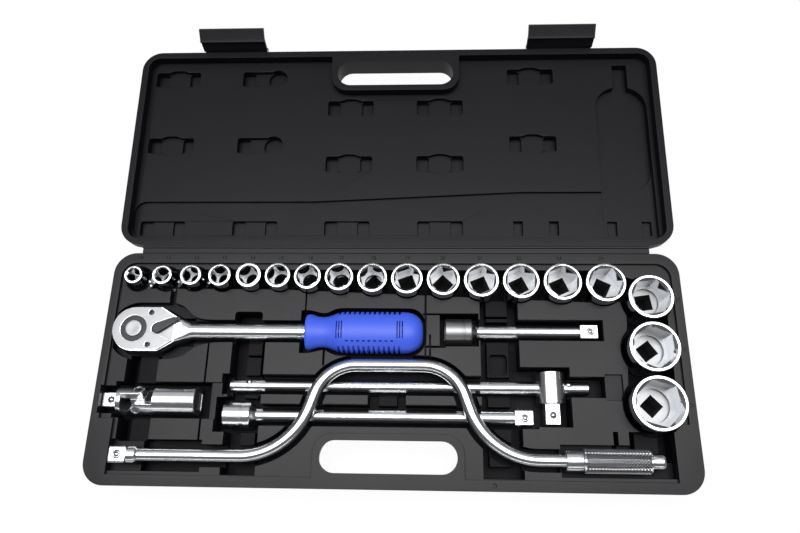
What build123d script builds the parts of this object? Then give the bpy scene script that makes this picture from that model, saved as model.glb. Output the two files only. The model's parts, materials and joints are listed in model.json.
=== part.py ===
from build123d import *
import os
from math import cos, radians, sin

os.makedirs("parts", exist_ok=True)

# Socket wrench set in a moulded case, lying open with every tool in its recess.
# Lengths are in millimetres and angles in degrees.
# The origin is the centre of the base's underside, +Y points to the hinge and +Z up.
# Places in the tray are given from the case's left edge and from its back edge.

# Fits shared by all pieces
seat_gap = 0.3
running_gap = 0.06
fixed_gap = 0.02

# Square drive and its detent ball, the same on every tool
square = 12.7
square_corner = 1.5
square_play = 0.15
square_length = 15.5
ball_radius = 2.6
ball_proud = 0.9
ball_travel = 1.0
ball_play = 0.08
ball_from_tip = 7.0

# Sockets: a row along the back and a column down the right side
row_sizes = tuple(range(10, 25))
side_sizes = (27, 30, 32)
socket_turns = (20, 35, 10, 25, 40, 0, 30, 15, 45, 20, 45, 22, 26, 24, 64, 8, 35, 44)
nut_slope = 1.205
nut_start = 3.55
drive_end_diameter = 21.5
drive_end_length = 18.0
drive_end_share = 0.86
drive_end_blend = 0.6
socket_shoulder = 2.5
socket_length = 38.0
socket_growth = 0.5
socket_chamfer = 0.8
hexagon_share = 0.45
drive_depth = 17.0
clear_hole_share = 0.42
square_shows_from = 19
counterbore_from = 27
counterbore_depth = 3.0

# Layout of the tray
side_margin = 10.6
back_margin = 11.7
socket_gap = 2.85
column_start = 22.0
well_gap = 0.6
side_well_gap = 2.6
scallop = 2.2
ratchet_room = 15.8
ratchet_margin = 8.2
short_gap = 18.1
short_lift = 2.2
joint_room = 26.2
joint_margin = 5.2
long_gap = 22.3
tbar_gap = 24.5
tbar_room = 26.2
long_room = 12.4
slider_room = 8.7
crank_gap = 5.35
column_room = 12.0
brace_end_room = 20.8
brace_front = 23.1
handle_room = 55.2

# Ratchet handle
head_radius = 18.4
head_thickness = 19.0
head_floor = 3.0
flank_length = 20.9
taper_length = 13.1
taper_half = 10.5
neck_length = 12.0
neck_round = 3.0
shank_radius = 7.0
ratchet_length = 256.0
plate_thickness = 2.0
plate_inset = 0.7
drive_tip = 12.5
gear_radius = 12.6
gear_teeth = 24
tooth_depth = 1.2
gear_play = 0.4
gear_lift = 0.5
hub_radius = 10.0
collar_radius = 10.8
button_radius = 7.1
button_height = 5.0
button_proud = 0.8
button_travel = 2.5
stem_radius = 2.5
lever_from_centre = 19.7
lever_angle = 26.0
lever_length = 19.0
lever_round = 4.2
lever_tip_round = 1.6
lever_height = 2.4
lever_play = 0.5
lever_recess = 1.2
lever_recess_length = 30.0
lever_stem = 2.4
pawl_radius = 4.6
pawl_half = 3.0
pawl_height = 8.0
pawl_gap = 0.9
pawl_room = 7.0
screw_from_centre = 13.3
screw_side = 13.4
screw_head_radius = 2.3
screw_radius = 1.4
screw_length = 7.0
grip_length = 98.5
grip_width = 34.6
grip_thickness = 27.0
grip_flange = 30.4
grip_waist = 25.6
grip_bore_depth = 75.0
grip_flange_end = 5.0
grip_waist_at = 17.0
grip_barrel_from = 32.0
grip_barrel_to = 86.0
grip_shoulder_at = 94.5
grip_shoulder = 27.0
grip_end_width = 17.0
grip_slim = 0.8

# Extensions
short_length = 125.0
long_length = 247.0
female_radius = 11.0
female_length = 22.0
female_depth = 15.0
extension_waist = 5.0
extension_radius = 6.0
extension_bed = 7.7
edge_break = 0.8

# Sliding T-bar
tbar_length = 290.0
tbar_radius = 5.5
slider_radius = 11.5
slider_length = 26.0
tbar_bed = 6.7
stop_from_end = 16.0
stop_lean = 40.0

# Universal joint
joint_radius = 12.2
joint_body = 77.0
joint_square = 12.5
joint_to_cross = 29.5
fork_depth = 13.0
fork_slot = 12.6
ear_half = 5.2
cross_size = 12.0
cross_pin = 3.2
joint_bed = 7.8
joint_roll = 45.0

# Speed brace
brace_length = 425.6
brace_radius = 5.25
brace_throw = 71.6
crank_start = 140.2
crank_foot = 153.0
crank_top = 103.2
crank_foot_round = 55.0
crank_top_round = 35.0
brace_square = 14.0
brace_neck = 8.0
brace_neck_radius = 7.2
brace_grip_radius = 9.5
brace_grip_length = 51.5
brace_collar_radius = 8.5
brace_collar_length = 13.0
brace_stub_radius = 6.3
brace_stub_length = 10.0
brace_stack_gap = 0.4

# Case
case_corner = 18.0
base_height = 32.0
case_skin = 3.0
rim_band = 9.0
rim_lip = 1.5
wall_draft = 1.5
edge_round = 3.0
closed_gap = 0.4
plateau_drop = 3.0
tray_side_rim = 7.0
tray_front_rim = 8.5
tray_back_rim = 9.0
tray_corner = 12.0
handle_length = 106.5
handle_height = 24.2
handle_front = 11.8
handle_border = 5.5
handle_corner = 15.0
handle_draft = 8.0
corner_width_left = 18.6
corner_width_right = 19.6
corner_length = 51.0
vent_radius = 1.4
vent_depth = 2.0
vent_from_left = 318.6
vent_from_front = 4.2

# Finger channels: a pad between two slots, each with its four edges from the left edge of the case
left_channel = (107.6, 118.6, 130.6, 134.6)
right_channel = (310.6, 316.1, 334.1, 341.6)
mid_channel = (220.6, 228.6, 243.6, 250.6)
far_channel = (21.6, 29.1, 44.1, 47.6)
side_channel = (422.6, 428.6, 446.6, 455.6)
channel_floor = 8.0
channel_pad_height = 20.0
right_channel_back = 38.0
far_channel_back = 88.0
far_channel_front = 156.0
mid_channel_back = 117.0
mid_channel_front = 130.0
side_channel_back = 145.0
notch_back = 51.0
notch_corner = 2.5
front_notch = 9.0
pad_line = 1.8
left_pad_line = 86.0
right_pad_line = 52.0
pad_well_back = 84.0
pad_well_front = 100.0
pad_well_floor = 14.0
pad_well_corner = 3.0
island_groove = 1.3
groove_depth = 7.0
island_step = 2.5
joint_island_width = 82.0
joint_end_pad = 10.4
bar_end_pad = 13.4
brace_frame = 61.0
brace_frame_slot = 3.5

# Recesses round the tools
head_recess = 5.5
head_close = 1.5
head_shelf = 22.0
head_run_back = 17.0
head_run_front = 31.0
head_slot_from = 3.1
head_slot_width = 5.0
shank_recess = 2.3
grip_recess = 2.6
female_recess = 2.6
short_end_room = 4.5
long_end_room = 6.0
shaft_recess = 2.6
slider_recess = 2.5
joint_recess = 2.2
joint_finger_room = 11.5
square_recess = 4.6
brace_recess = 3.2
brace_end_recess = 2.3
brace_pocket_half = 11.9
brace_pocket_room = 9.0
slider_travel_room = 14.0

# Lid, hinge and latches
hinge_web = 7.8
hinge_length = 430.0
hinge_thickness = 1.4
hinge_bead = 1.3
hinge_play = 0.25
open_angle = 177.0
lid_clearance = 0.9
lid_socket_clearance = 2.8
lid_skin = 3.0
lid_rim = 6.0
lid_hinge_rim = 9.0
lid_step_left = 47.0
lid_step_right = 55.5
lid_step_bend_left = 168.0
lid_step_bend_right = 348.0
lid_corner = 10.0
bottle_left = 420.0
bottle_low = 58.0
bottle_high = 158.0
bottle_round = 20.0
bottle_neck_left = 437.5
bottle_neck_width = 13.0
bottle_neck_end = 181.0
tack_width = 42.0
tack_height = 15.0
tack_corner = 2.0
tack_bulge = 2.0
tack_bulge_half = 10.0
tack_bulge_top = 4.0
tack_well = 11.0
tack_end_round = 9.0
round_tack_column = 1
tack_columns = (31.5, 114.5, 196.5, 278.5, 362.0)
tack_high = (170.5, 170.5, 139.0, 139.0, 170.5)
tack_middle = (102.0, 102.0, 83.0, 83.0, 102.0)
tack_low = 22.6
tack_low_width = 40.0
tack_low_height = 13.5
tack_low_columns = 4
small_tacks = (346.5, 377.5, 428.0, 457.5)
small_tack_width = 8.0
small_tack_height = 13.0
latch_place = 151.0
latch_width = 60.0
latch_knuckle_width = 50.0
latch_rest = 14.0
latch_pivot_out = 4.2
latch_pivot_down = 6.0
latch_knuckle = 3.0
latch_thickness = 2.2
latch_wall_gap = 0.6
latch_hook = 1.7
latch_hook_gap = 0.35
latch_hook_height = 2.4
latch_hook_nose = 0.8
latch_lip_rise = 7.0
latch_lip_out = 5.6
latch_pin_radius = 1.5
lug_width = 4.0
lug_gap = 0.4
lug_round = 3.4


def save(builder, name):
    """Label a finished piece and write it."""
    builder.part.label = name
    export_step(builder.part, f"parts/{name}.step")


def rectangle_between(left, right, low, high, mode=Mode.ADD):
    """Rectangle given by its four edges, drawn into the open sketch."""
    with Locations(((left + right) / 2, (low + high) / 2)):
        Rectangle(right - left, high - low, mode=mode)


def cut_pocket(left, right, low, high, floor, corner=0.0):
    """Pocket given by its four edges, cut into the open part from the rim down to its floor."""
    with BuildSketch(Plane.XY.offset(base_height)) as outline:
        if corner:
            with Locations(((left + right) / 2, (low + high) / 2)):
                RectangleRounded(right - left, high - low, corner)
        else:
            rectangle_between(left, right, low, high)
    extrude(outline.sketch, amount=floor - base_height, mode=Mode.SUBTRACT)


def cut_channel(edges, back, front):
    """Finger channel across the tray: a lower pad between two deep slots."""
    slot_left, pad_left, pad_right, slot_right = [left_edge + edge for edge in edges]
    cut_pocket(slot_left, pad_left, back_edge - front, back_edge - back, channel_floor)
    cut_pocket(pad_left, pad_right, back_edge - front, back_edge - back, channel_pad_height)
    cut_pocket(pad_right, slot_right, back_edge - front, back_edge - back, channel_floor)


def cut_ball_seat(plane):
    """Blind hole for a detent ball, drilled into the open part."""
    with Locations(plane):
        Hole(ball_radius + ball_play, depth=2 * ball_radius - ball_proud + ball_travel + seat_gap)


def make_ball(name, plane):
    """Detent ball that stands a little proud of its face."""
    with BuildPart(plane.offset(ball_proud - ball_radius)) as ball:
        Sphere(ball_radius)
    save(ball, name)


def nut_diameter(size):
    """Outer diameter of the hexagon end."""
    return nut_slope * size + nut_start


def socket_diameter(size):
    """Largest diameter of a socket."""
    return max(nut_diameter(size), drive_end_diameter)


def socket_height(size):
    """Sockets larger than the back row's are a little taller."""
    return socket_length + socket_growth * max(0, size - row_sizes[-1])


# Socket places, from the left edge and from the back edge
places = {}
run = side_margin
for size in row_sizes:
    places[size] = (run + socket_diameter(size) / 2, back_margin + socket_diameter(size) / 2)
    run += socket_diameter(size) + socket_gap
row_end = run - socket_gap

# Distances of the tools' axes from the back edge
ratchet_back = back_margin + drive_end_diameter + ratchet_room + head_radius
short_back = ratchet_back - short_lift
joint_back = ratchet_back + head_radius + joint_room + joint_radius
tbar_back = ratchet_back + grip_width / 2 + tbar_room
long_back = tbar_back + tbar_radius + long_room + extension_radius
crank_back = ratchet_back + grip_width / 2 + crank_gap + brace_radius
brace_back = crank_back + brace_throw

# Distances of the tools' ends from the left edge
ratchet_end = ratchet_margin + ratchet_length
short_end = ratchet_end + short_gap + short_length
joint_end = joint_margin + joint_body
long_start = joint_end + long_gap
tbar_start = joint_end + tbar_gap

# The case is as large as its widest row and its deepest stack
column_widths = side_margin + socket_diameter(side_sizes[1])
case_width = max(
    row_end + socket_diameter(side_sizes[0]) + side_margin,
    short_end + column_room + column_widths,
    tbar_start + tbar_length + column_room + column_widths,
    2 * (crank_start + crank_foot / 2 + brace_end_room),
)
case_depth = max(long_back + handle_room, brace_back + brace_front)

drop = column_start
for size in side_sizes:
    places[size] = (case_width - side_margin - socket_diameter(size) / 2, drop + socket_diameter(size) / 2)
    drop += socket_diameter(size) + socket_gap

left_edge = -case_width / 2
back_edge = case_depth / 2
front_edge = -case_depth / 2

# Tool axes in the part's frame
ratchet_x = left_edge + ratchet_margin + head_radius
ratchet_y = back_edge - ratchet_back
short_x = left_edge + ratchet_end + short_gap
short_y = back_edge - short_back
long_x = left_edge + long_start
long_y = back_edge - long_back
tbar_x = left_edge + tbar_start
tbar_y = back_edge - tbar_back
slider_x = long_x + long_length + slider_room + square / 2
joint_x = left_edge + joint_margin
joint_y = back_edge - joint_back
cross_x = joint_x + joint_to_cross
brace_x = -crank_start - crank_foot / 2
brace_y = back_edge - brace_back
crank_y = back_edge - crank_back
handle_y = front_edge + handle_front + handle_height / 2

# Heights
rim_z = base_height
plateau_z = base_height - plateau_drop
socket_z = case_skin + seat_gap
drive_tip_z = case_skin + 2 * seat_gap
head_bottom = drive_tip_z + drive_tip
head_top = head_bottom + head_thickness
plate_top = head_top + plate_thickness
ratchet_z = head_bottom + head_thickness / 2
extension_z = extension_bed + seat_gap + female_radius
tbar_z = tbar_bed + seat_gap + slider_radius
joint_z = joint_bed + seat_gap + joint_radius
under_brace = max(extension_z + extension_radius, tbar_z + tbar_radius)
brace_z = under_brace + brace_stack_gap + brace_radius

# Hinge line and the lid's own plane, tilted up a little when the lid lies open
hinge_y = back_edge + hinge_web / 2
hinge_z = rim_z + closed_gap / 2
lid_tilt = 180.0 - open_angle
lid_along = Vector(0, cos(radians(lid_tilt)), sin(radians(lid_tilt)))
lid_up = Vector(0, -sin(radians(lid_tilt)), cos(radians(lid_tilt)))
lid_plane = Plane(origin=(0, hinge_y, hinge_z), x_dir=(1, 0, 0), z_dir=lid_up)
lid_rim_plane = lid_plane.offset(-closed_gap / 2)
lid_near = hinge_web / 2
lid_far = lid_near + case_depth
lid_middle = (lid_near + lid_far) / 2
tool_top = max(brace_z + brace_grip_radius, ratchet_z + grip_thickness / 2, plate_top + lever_height)
panel_depth = tool_top - rim_z + lid_clearance
row_depth = socket_z + socket_height(row_sizes[-1]) - rim_z + lid_socket_clearance
corner_depth = socket_z + socket_height(side_sizes[0]) - rim_z + lid_socket_clearance
bottle_depth = socket_z + socket_height(side_sizes[-1]) - rim_z + lid_socket_clearance
tack_depth = bottle_depth + lid_clearance
lid_height = tack_depth + lid_skin

# Ratchet places that several pieces share
flank_x = ratchet_x + flank_length
taper_x = flank_x + taper_length
neck_x = taper_x + neck_length
grip_x = left_edge + ratchet_end - grip_length
lever_x = ratchet_x + lever_from_centre
gear_low = head_bottom + head_floor + gear_lift
gear_high = head_top - seat_gap
ratchet_ball_plane = Plane(
    origin=(ratchet_x + square / 2, ratchet_y, drive_tip_z + drive_tip / 2),
    z_dir=(1, 0, 0),
)

grip_end = grip_x + grip_length
grip_stations = (
    (0, grip_flange * grip_slim),
    (grip_flange_end, grip_flange),
    (grip_waist_at, grip_waist),
    (grip_barrel_from, grip_width),
    (grip_barrel_to, grip_width),
    (grip_shoulder_at, grip_shoulder),
    (grip_length, grip_end_width),
)
first_wide = next(size for size in row_sizes if nut_diameter(size) > drive_end_diameter)

# Brace crank line, straight runs joined by round bends
crank_points = (
    (brace_x + brace_square, brace_y),
    (brace_x + crank_start, brace_y),
    (-crank_top / 2, crank_y),
    (crank_top / 2, crank_y),
    (crank_foot / 2, brace_y),
    (brace_x + brace_length - brace_stub_length, brace_y),
)
crank_rounds = (crank_foot_round, crank_top_round, crank_top_round, crank_foot_round)
brace_grip_x = brace_x + brace_length - brace_stub_length - brace_grip_length


def plan(size):
    """Centre of a socket in the part's frame."""
    return (left_edge + places[size][0], back_edge - places[size][1])


def head_points(inset):
    """Plan of the ratchet's head from one end of its arc to the other."""
    side = head_radius - inset
    end = taper_half - inset
    return (
        (ratchet_x, ratchet_y - side),
        (flank_x, ratchet_y - side),
        (taper_x - inset, ratchet_y - end),
        (taper_x - inset, ratchet_y + end),
        (flank_x, ratchet_y + side),
        (ratchet_x, ratchet_y + side),
    )


# Case base: moulded tray with a flange round its rim
with BuildPart() as case_base:
    with BuildSketch(Plane.XY.offset(rim_z)):
        RectangleRounded(case_width, case_depth, case_corner)
    extrude(amount=-rim_band)
    with BuildSketch(Plane.XY.offset(rim_z - rim_band)):
        RectangleRounded(case_width - 2 * rim_lip, case_depth - 2 * rim_lip, case_corner - rim_lip)
    extrude(amount=rim_band - rim_z, taper=wall_draft)
    fillet(case_base.edges().group_by(Axis.Z)[0], edge_round)

    # Step down from the rim to the islands between the recesses, but not round the handle
    with BuildSketch(Plane.XY.offset(rim_z)):
        with Locations((0, (tray_front_rim - tray_back_rim) / 2)):
            RectangleRounded(
                case_width - 2 * tray_side_rim,
                case_depth - tray_front_rim - tray_back_rim,
                tray_corner,
            )
        with Locations((0, front_edge)):
            RectangleRounded(
                handle_length + 2 * handle_border,
                2 * (handle_front + handle_height + handle_border),
                handle_corner,
                mode=Mode.SUBTRACT,
            )
        corner_back = front_edge + corner_length
        rectangle_between(left_edge, left_edge + corner_width_left, front_edge, corner_back, Mode.SUBTRACT)
        rectangle_between(-left_edge - corner_width_right, -left_edge, front_edge, corner_back, Mode.SUBTRACT)
    extrude(amount=-plateau_drop, mode=Mode.SUBTRACT)

    # Handle slot
    with BuildSketch(Plane.XY.offset(rim_z)):
        with Locations((0, handle_y)):
            SlotOverall(handle_length, handle_height)
    extrude(amount=-rim_z, taper=-handle_draft, mode=Mode.SUBTRACT)

    # Mark of the blowing needle
    with BuildSketch(Plane.XY.offset(rim_z)):
        with Locations((left_edge + vent_from_left, front_edge + vent_from_front)):
            Circle(vent_radius)
    extrude(amount=-vent_depth, mode=Mode.SUBTRACT)

    # Socket wells joined by a trench whose edge is scalloped
    with BuildSketch(Plane.XY.offset(rim_z)):
        for size in row_sizes:
            with Locations(plan(size)):
                Circle(socket_diameter(size) / 2 + well_gap)
        for size in side_sizes:
            with Locations(plan(size)):
                Circle(socket_diameter(size) / 2 + side_well_gap)
        trench_back = back_edge - back_margin - scallop
        turn_x, turn_y = plan(side_sizes[0])
        turn_reach = socket_diameter(side_sizes[0]) / 2 - scallop
        with BuildLine():
            Polyline(
                (plan(row_sizes[0])[0], trench_back),
                (plan(row_sizes[-1])[0], trench_back),
                (turn_x, turn_y + turn_reach),
                (turn_x - turn_reach, turn_y),
                (plan(row_sizes[-1])[0], trench_back + 2 * scallop - socket_diameter(row_sizes[-1])),
                (plan(first_wide)[0], trench_back + 2 * scallop - socket_diameter(first_wide)),
                (plan(row_sizes[0])[0], trench_back + 2 * scallop - socket_diameter(row_sizes[0])),
                close=True,
            )
        make_face()
        column_right = -left_edge - side_margin - scallop
        with BuildLine():
            Polyline(
                (column_right, plan(side_sizes[0])[1]),
                (column_right, plan(side_sizes[-1])[1]),
                (column_right + 2 * scallop - socket_diameter(side_sizes[-1]), plan(side_sizes[-1])[1]),
                (column_right + 2 * scallop - socket_diameter(side_sizes[0]), plan(side_sizes[0])[1]),
                close=True,
            )
        make_face()
    extrude(amount=case_skin - rim_z, mode=Mode.SUBTRACT)

    # Finger channels, with the lines and wells pressed into their pads
    front_rim = case_depth - tray_front_rim - well_gap
    cut_channel(left_channel, ratchet_back, front_rim)
    cut_channel(right_channel, right_channel_back, front_rim)
    cut_channel(mid_channel, mid_channel_back, mid_channel_front)
    cut_channel(far_channel, far_channel_back, far_channel_front)
    cut_channel(side_channel, side_channel_back, brace_back)
    notch_low = back_edge - front_rim
    for edges, line_back in ((left_channel, left_pad_line), (right_channel, right_pad_line)):
        slot_left, pad_left, pad_right, slot_right = [left_edge + edge for edge in edges]
        line_top = back_edge - line_back
        cut_pocket(pad_left, pad_right, line_top - pad_line, line_top, channel_floor)
        cut_pocket(slot_left, slot_right, notch_low, notch_low + front_notch, channel_floor)
    cut_pocket(
        left_edge + right_channel[1] + pad_line,
        left_edge + right_channel[2] - pad_line,
        back_edge - pad_well_front,
        back_edge - pad_well_back,
        pad_well_floor,
        pad_well_corner,
    )
    cut_pocket(
        left_edge + left_channel[0],
        left_edge + left_channel[2],
        ratchet_y,
        back_edge - notch_back,
        channel_floor,
        notch_corner,
    )

    # Ratchet recess: a shelf that swings in to the shank, the head's own bed, hole for the square
    head_half = head_radius + head_recess
    shank_half = shank_radius + shank_recess
    head_clear = ratchet_x - head_radius - well_gap
    with BuildSketch(Plane.XY.offset(rim_z)):
        with BuildLine():
            CenterArc((ratchet_x, ratchet_y), head_half, 90, 180)
            for side, run_out in ((1, head_run_back), (-1, head_run_front)):
                swing = neck_x + run_out
                bend = (taper_x + swing) / 2
                Line((ratchet_x, ratchet_y + side * head_half), (flank_x, ratchet_y + side * head_half))
                Bezier(
                    (flank_x, ratchet_y + side * head_half),
                    (bend, ratchet_y + side * head_half),
                    (taper_x, ratchet_y + side * shank_half),
                    (swing, ratchet_y + side * shank_half),
                )
            Line(
                (neck_x + head_run_back, ratchet_y + shank_half),
                (neck_x + head_run_front, ratchet_y - shank_half),
            )
        make_face()
        rectangle_between(left_edge, head_clear, ratchet_y - head_half, ratchet_y + head_half, Mode.SUBTRACT)
    extrude(amount=head_shelf - rim_z, mode=Mode.SUBTRACT)
    with BuildSketch(Plane.XY.offset(rim_z)):
        with BuildLine():
            CenterArc((ratchet_x, ratchet_y), head_radius + head_close, 90, 180)
            Polyline(*head_points(-head_close))
        make_face()
        neck_half = taper_half + head_close
        rectangle_between(taper_x, neck_x, ratchet_y - neck_half, ratchet_y + neck_half)
        rectangle_between(left_edge, head_clear, ratchet_y - head_half, ratchet_y + head_half, Mode.SUBTRACT)
    extrude(amount=head_bottom - seat_gap - rim_z, mode=Mode.SUBTRACT)
    with BuildSketch(Plane.XY.offset(rim_z)):
        with Locations((ratchet_x, ratchet_y)):
            Circle(square - well_gap)
    extrude(amount=drive_tip_z - seat_gap - rim_z, mode=Mode.SUBTRACT)
    slot_left = flank_x + head_slot_from
    cut_pocket(slot_left, slot_left + head_slot_width, ratchet_y, trench_back, head_shelf)

    # Shank and grip, the grip's recess following its outline
    cut_pocket(
        neck_x, grip_x, ratchet_y - shank_half, ratchet_y + shank_half, ratchet_z - shank_radius - seat_gap
    )
    flange_half = grip_flange / 2 + grip_recess
    barrel_half = grip_width / 2 + grip_recess
    grip_start = grip_x - grip_recess
    grip_stop = grip_end + grip_recess
    with BuildSketch(Plane.XY.offset(rim_z)):
        with BuildLine():
            Line((grip_start, ratchet_y - flange_half), (grip_start, ratchet_y + flange_half))
            for side in (1, -1):
                Spline(
                    (grip_start, ratchet_y + side * flange_half),
                    (grip_x + grip_flange_end, ratchet_y + side * flange_half),
                    (grip_x + grip_waist_at, ratchet_y + side * (grip_waist / 2 + grip_recess)),
                    (grip_x + grip_barrel_from, ratchet_y + side * barrel_half),
                    tangents=((1, 0), (1, 0)),
                )
                Line(
                    (grip_x + grip_barrel_from, ratchet_y + side * barrel_half),
                    (grip_x + grip_barrel_to, ratchet_y + side * barrel_half),
                )
                Bezier(
                    (grip_x + grip_barrel_to, ratchet_y + side * barrel_half),
                    (grip_stop, ratchet_y + side * barrel_half),
                    (grip_stop, ratchet_y),
                )
        make_face()
    extrude(amount=ratchet_z - grip_thickness / 2 - seat_gap - rim_z, mode=Mode.SUBTRACT)

    # Grooves that part the islands round the grip and over the universal joint
    groove_floor = plateau_z - groove_depth
    trench_front = back_edge - back_margin - drive_end_diameter
    joint_island = joint_x + joint_island_width
    for groove_x, groove_low, groove_high in (
        (grip_x, ratchet_y, trench_front),
        (grip_end + island_groove, ratchet_y, trench_front),
        (grip_end + island_groove, crank_y, ratchet_y - short_lift),
        (grip_end + grip_flange_end, crank_y, ratchet_y - short_lift),
        (grip_x + grip_waist_at, crank_y, ratchet_y),
        (joint_island, joint_y, ratchet_y - shank_half),
        (joint_island, brace_y, joint_y),
    ):
        cut_pocket(groove_x, groove_x + island_groove, groove_low, groove_high, groove_floor)
    for groove_y in (short_y + female_radius + female_recess, short_y - female_radius - female_recess):
        cut_pocket(grip_end, short_x, groove_y - island_groove, groove_y, groove_floor)

    # Islands that are pressed a little lower beside the joint and the bar
    low_island = plateau_z - island_step
    joint_stop = joint_x + joint_body + joint_finger_room
    bar_stop = tbar_x + tbar_length + joint_finger_room
    joint_wide = joint_radius + joint_recess
    cut_pocket(joint_stop, joint_stop + joint_end_pad, joint_y - joint_wide, joint_y + joint_wide, low_island)
    bar_wide = tbar_radius + square_recess
    cut_pocket(bar_stop, bar_stop + bar_end_pad, tbar_y - bar_wide, tbar_y + bar_wide, low_island)
    frame_x = -left_edge - brace_frame
    cut_pocket(frame_x - brace_frame_slot, frame_x, brace_y, back_edge - side_channel_back, channel_floor)

    # Extensions: wide at the female end, narrow along the shaft
    for start, middle, length, room in (
        (short_x, short_y, short_length, short_end_room),
        (long_x, long_y, long_length, long_end_room),
    ):
        wide = female_radius + female_recess
        narrow = extension_radius + shaft_recess
        with BuildSketch(Plane.XY.offset(rim_z)):
            rectangle_between(
                start - room, start + female_length + extension_waist, middle - wide, middle + wide
            )
            rectangle_between(start, start + length + female_recess, middle - narrow, middle + narrow)
        extrude(amount=extension_bed - rim_z, mode=Mode.SUBTRACT)

    # T-bar: trench for the bar and a deeper pocket for the slider
    bar_half = tbar_radius + shaft_recess
    with BuildSketch(Plane.XY.offset(rim_z)):
        rectangle_between(tbar_x - square_recess, bar_stop, tbar_y - bar_half, tbar_y + bar_half)
    extrude(amount=tbar_z - tbar_radius - seat_gap - rim_z, mode=Mode.SUBTRACT)
    slider_half = slider_length / 2 + slider_recess
    with BuildSketch(Plane.XY.offset(rim_z)):
        slider_left = slider_x - slider_radius - slider_recess
        slider_right = slider_x + slider_radius + slider_recess
        rectangle_between(
            slider_left, slider_right, tbar_y - slider_half - square_length, tbar_y + slider_half
        )
        rectangle_between(
            slider_left - slider_travel_room, slider_right, tbar_y - slider_half, tbar_y + slider_half
        )
    extrude(amount=tbar_bed - rim_z, mode=Mode.SUBTRACT)

    # Universal joint, shallower under its square
    with BuildSketch(Plane.XY.offset(rim_z)):
        joint_half = joint_radius + joint_recess
        rectangle_between(
            joint_x + joint_square - joint_recess,
            joint_x + joint_body + joint_finger_room,
            joint_y - joint_half,
            joint_y + joint_half,
        )
    extrude(amount=joint_bed - rim_z, mode=Mode.SUBTRACT)
    with BuildSketch(Plane.XY.offset(rim_z)):
        square_half = square / 2 + square_recess
        rectangle_between(
            joint_x - well_gap, joint_x + joint_square, joint_y - square_half, joint_y + square_half
        )
    extrude(amount=joint_z - square / 2 - seat_gap - rim_z, mode=Mode.SUBTRACT)

    # Brace: cradle under its square, channel along the crank, pocket for the loose grip
    cradle_end = brace_x + brace_square + brace_neck
    pocket_start = brace_grip_x - brace_collar_length - brace_end_recess
    crank_half = brace_radius + brace_recess
    with BuildSketch(Plane.XY.offset(rim_z)):
        rectangle_between(
            brace_x - brace_end_recess, cradle_end, brace_y - brace_pocket_half, brace_y + brace_pocket_half
        )
    extrude(amount=brace_z - brace_neck_radius - seat_gap - rim_z, mode=Mode.SUBTRACT)
    with BuildSketch(Plane.XY.offset(rim_z)):
        rectangle_between(
            cradle_end, brace_x + crank_start / 2, brace_y - brace_pocket_half, brace_y + brace_pocket_half
        )
        with BuildLine():
            FilletPolyline(
                (cradle_end, brace_y), *crank_points[1:-1], (pocket_start, brace_y), radius=crank_rounds
            )
        trace(line_width=2 * crank_half)
    extrude(amount=tbar_z - tbar_radius - seat_gap - rim_z, mode=Mode.SUBTRACT)
    with BuildSketch(Plane.XY.offset(rim_z)):
        rectangle_between(
            pocket_start,
            brace_x + brace_length + brace_pocket_room,
            brace_y - brace_pocket_half,
            brace_y + brace_pocket_half,
        )
    extrude(amount=brace_z - brace_grip_radius - seat_gap - rim_z, mode=Mode.SUBTRACT)
save(case_base, "case_base")

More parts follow.
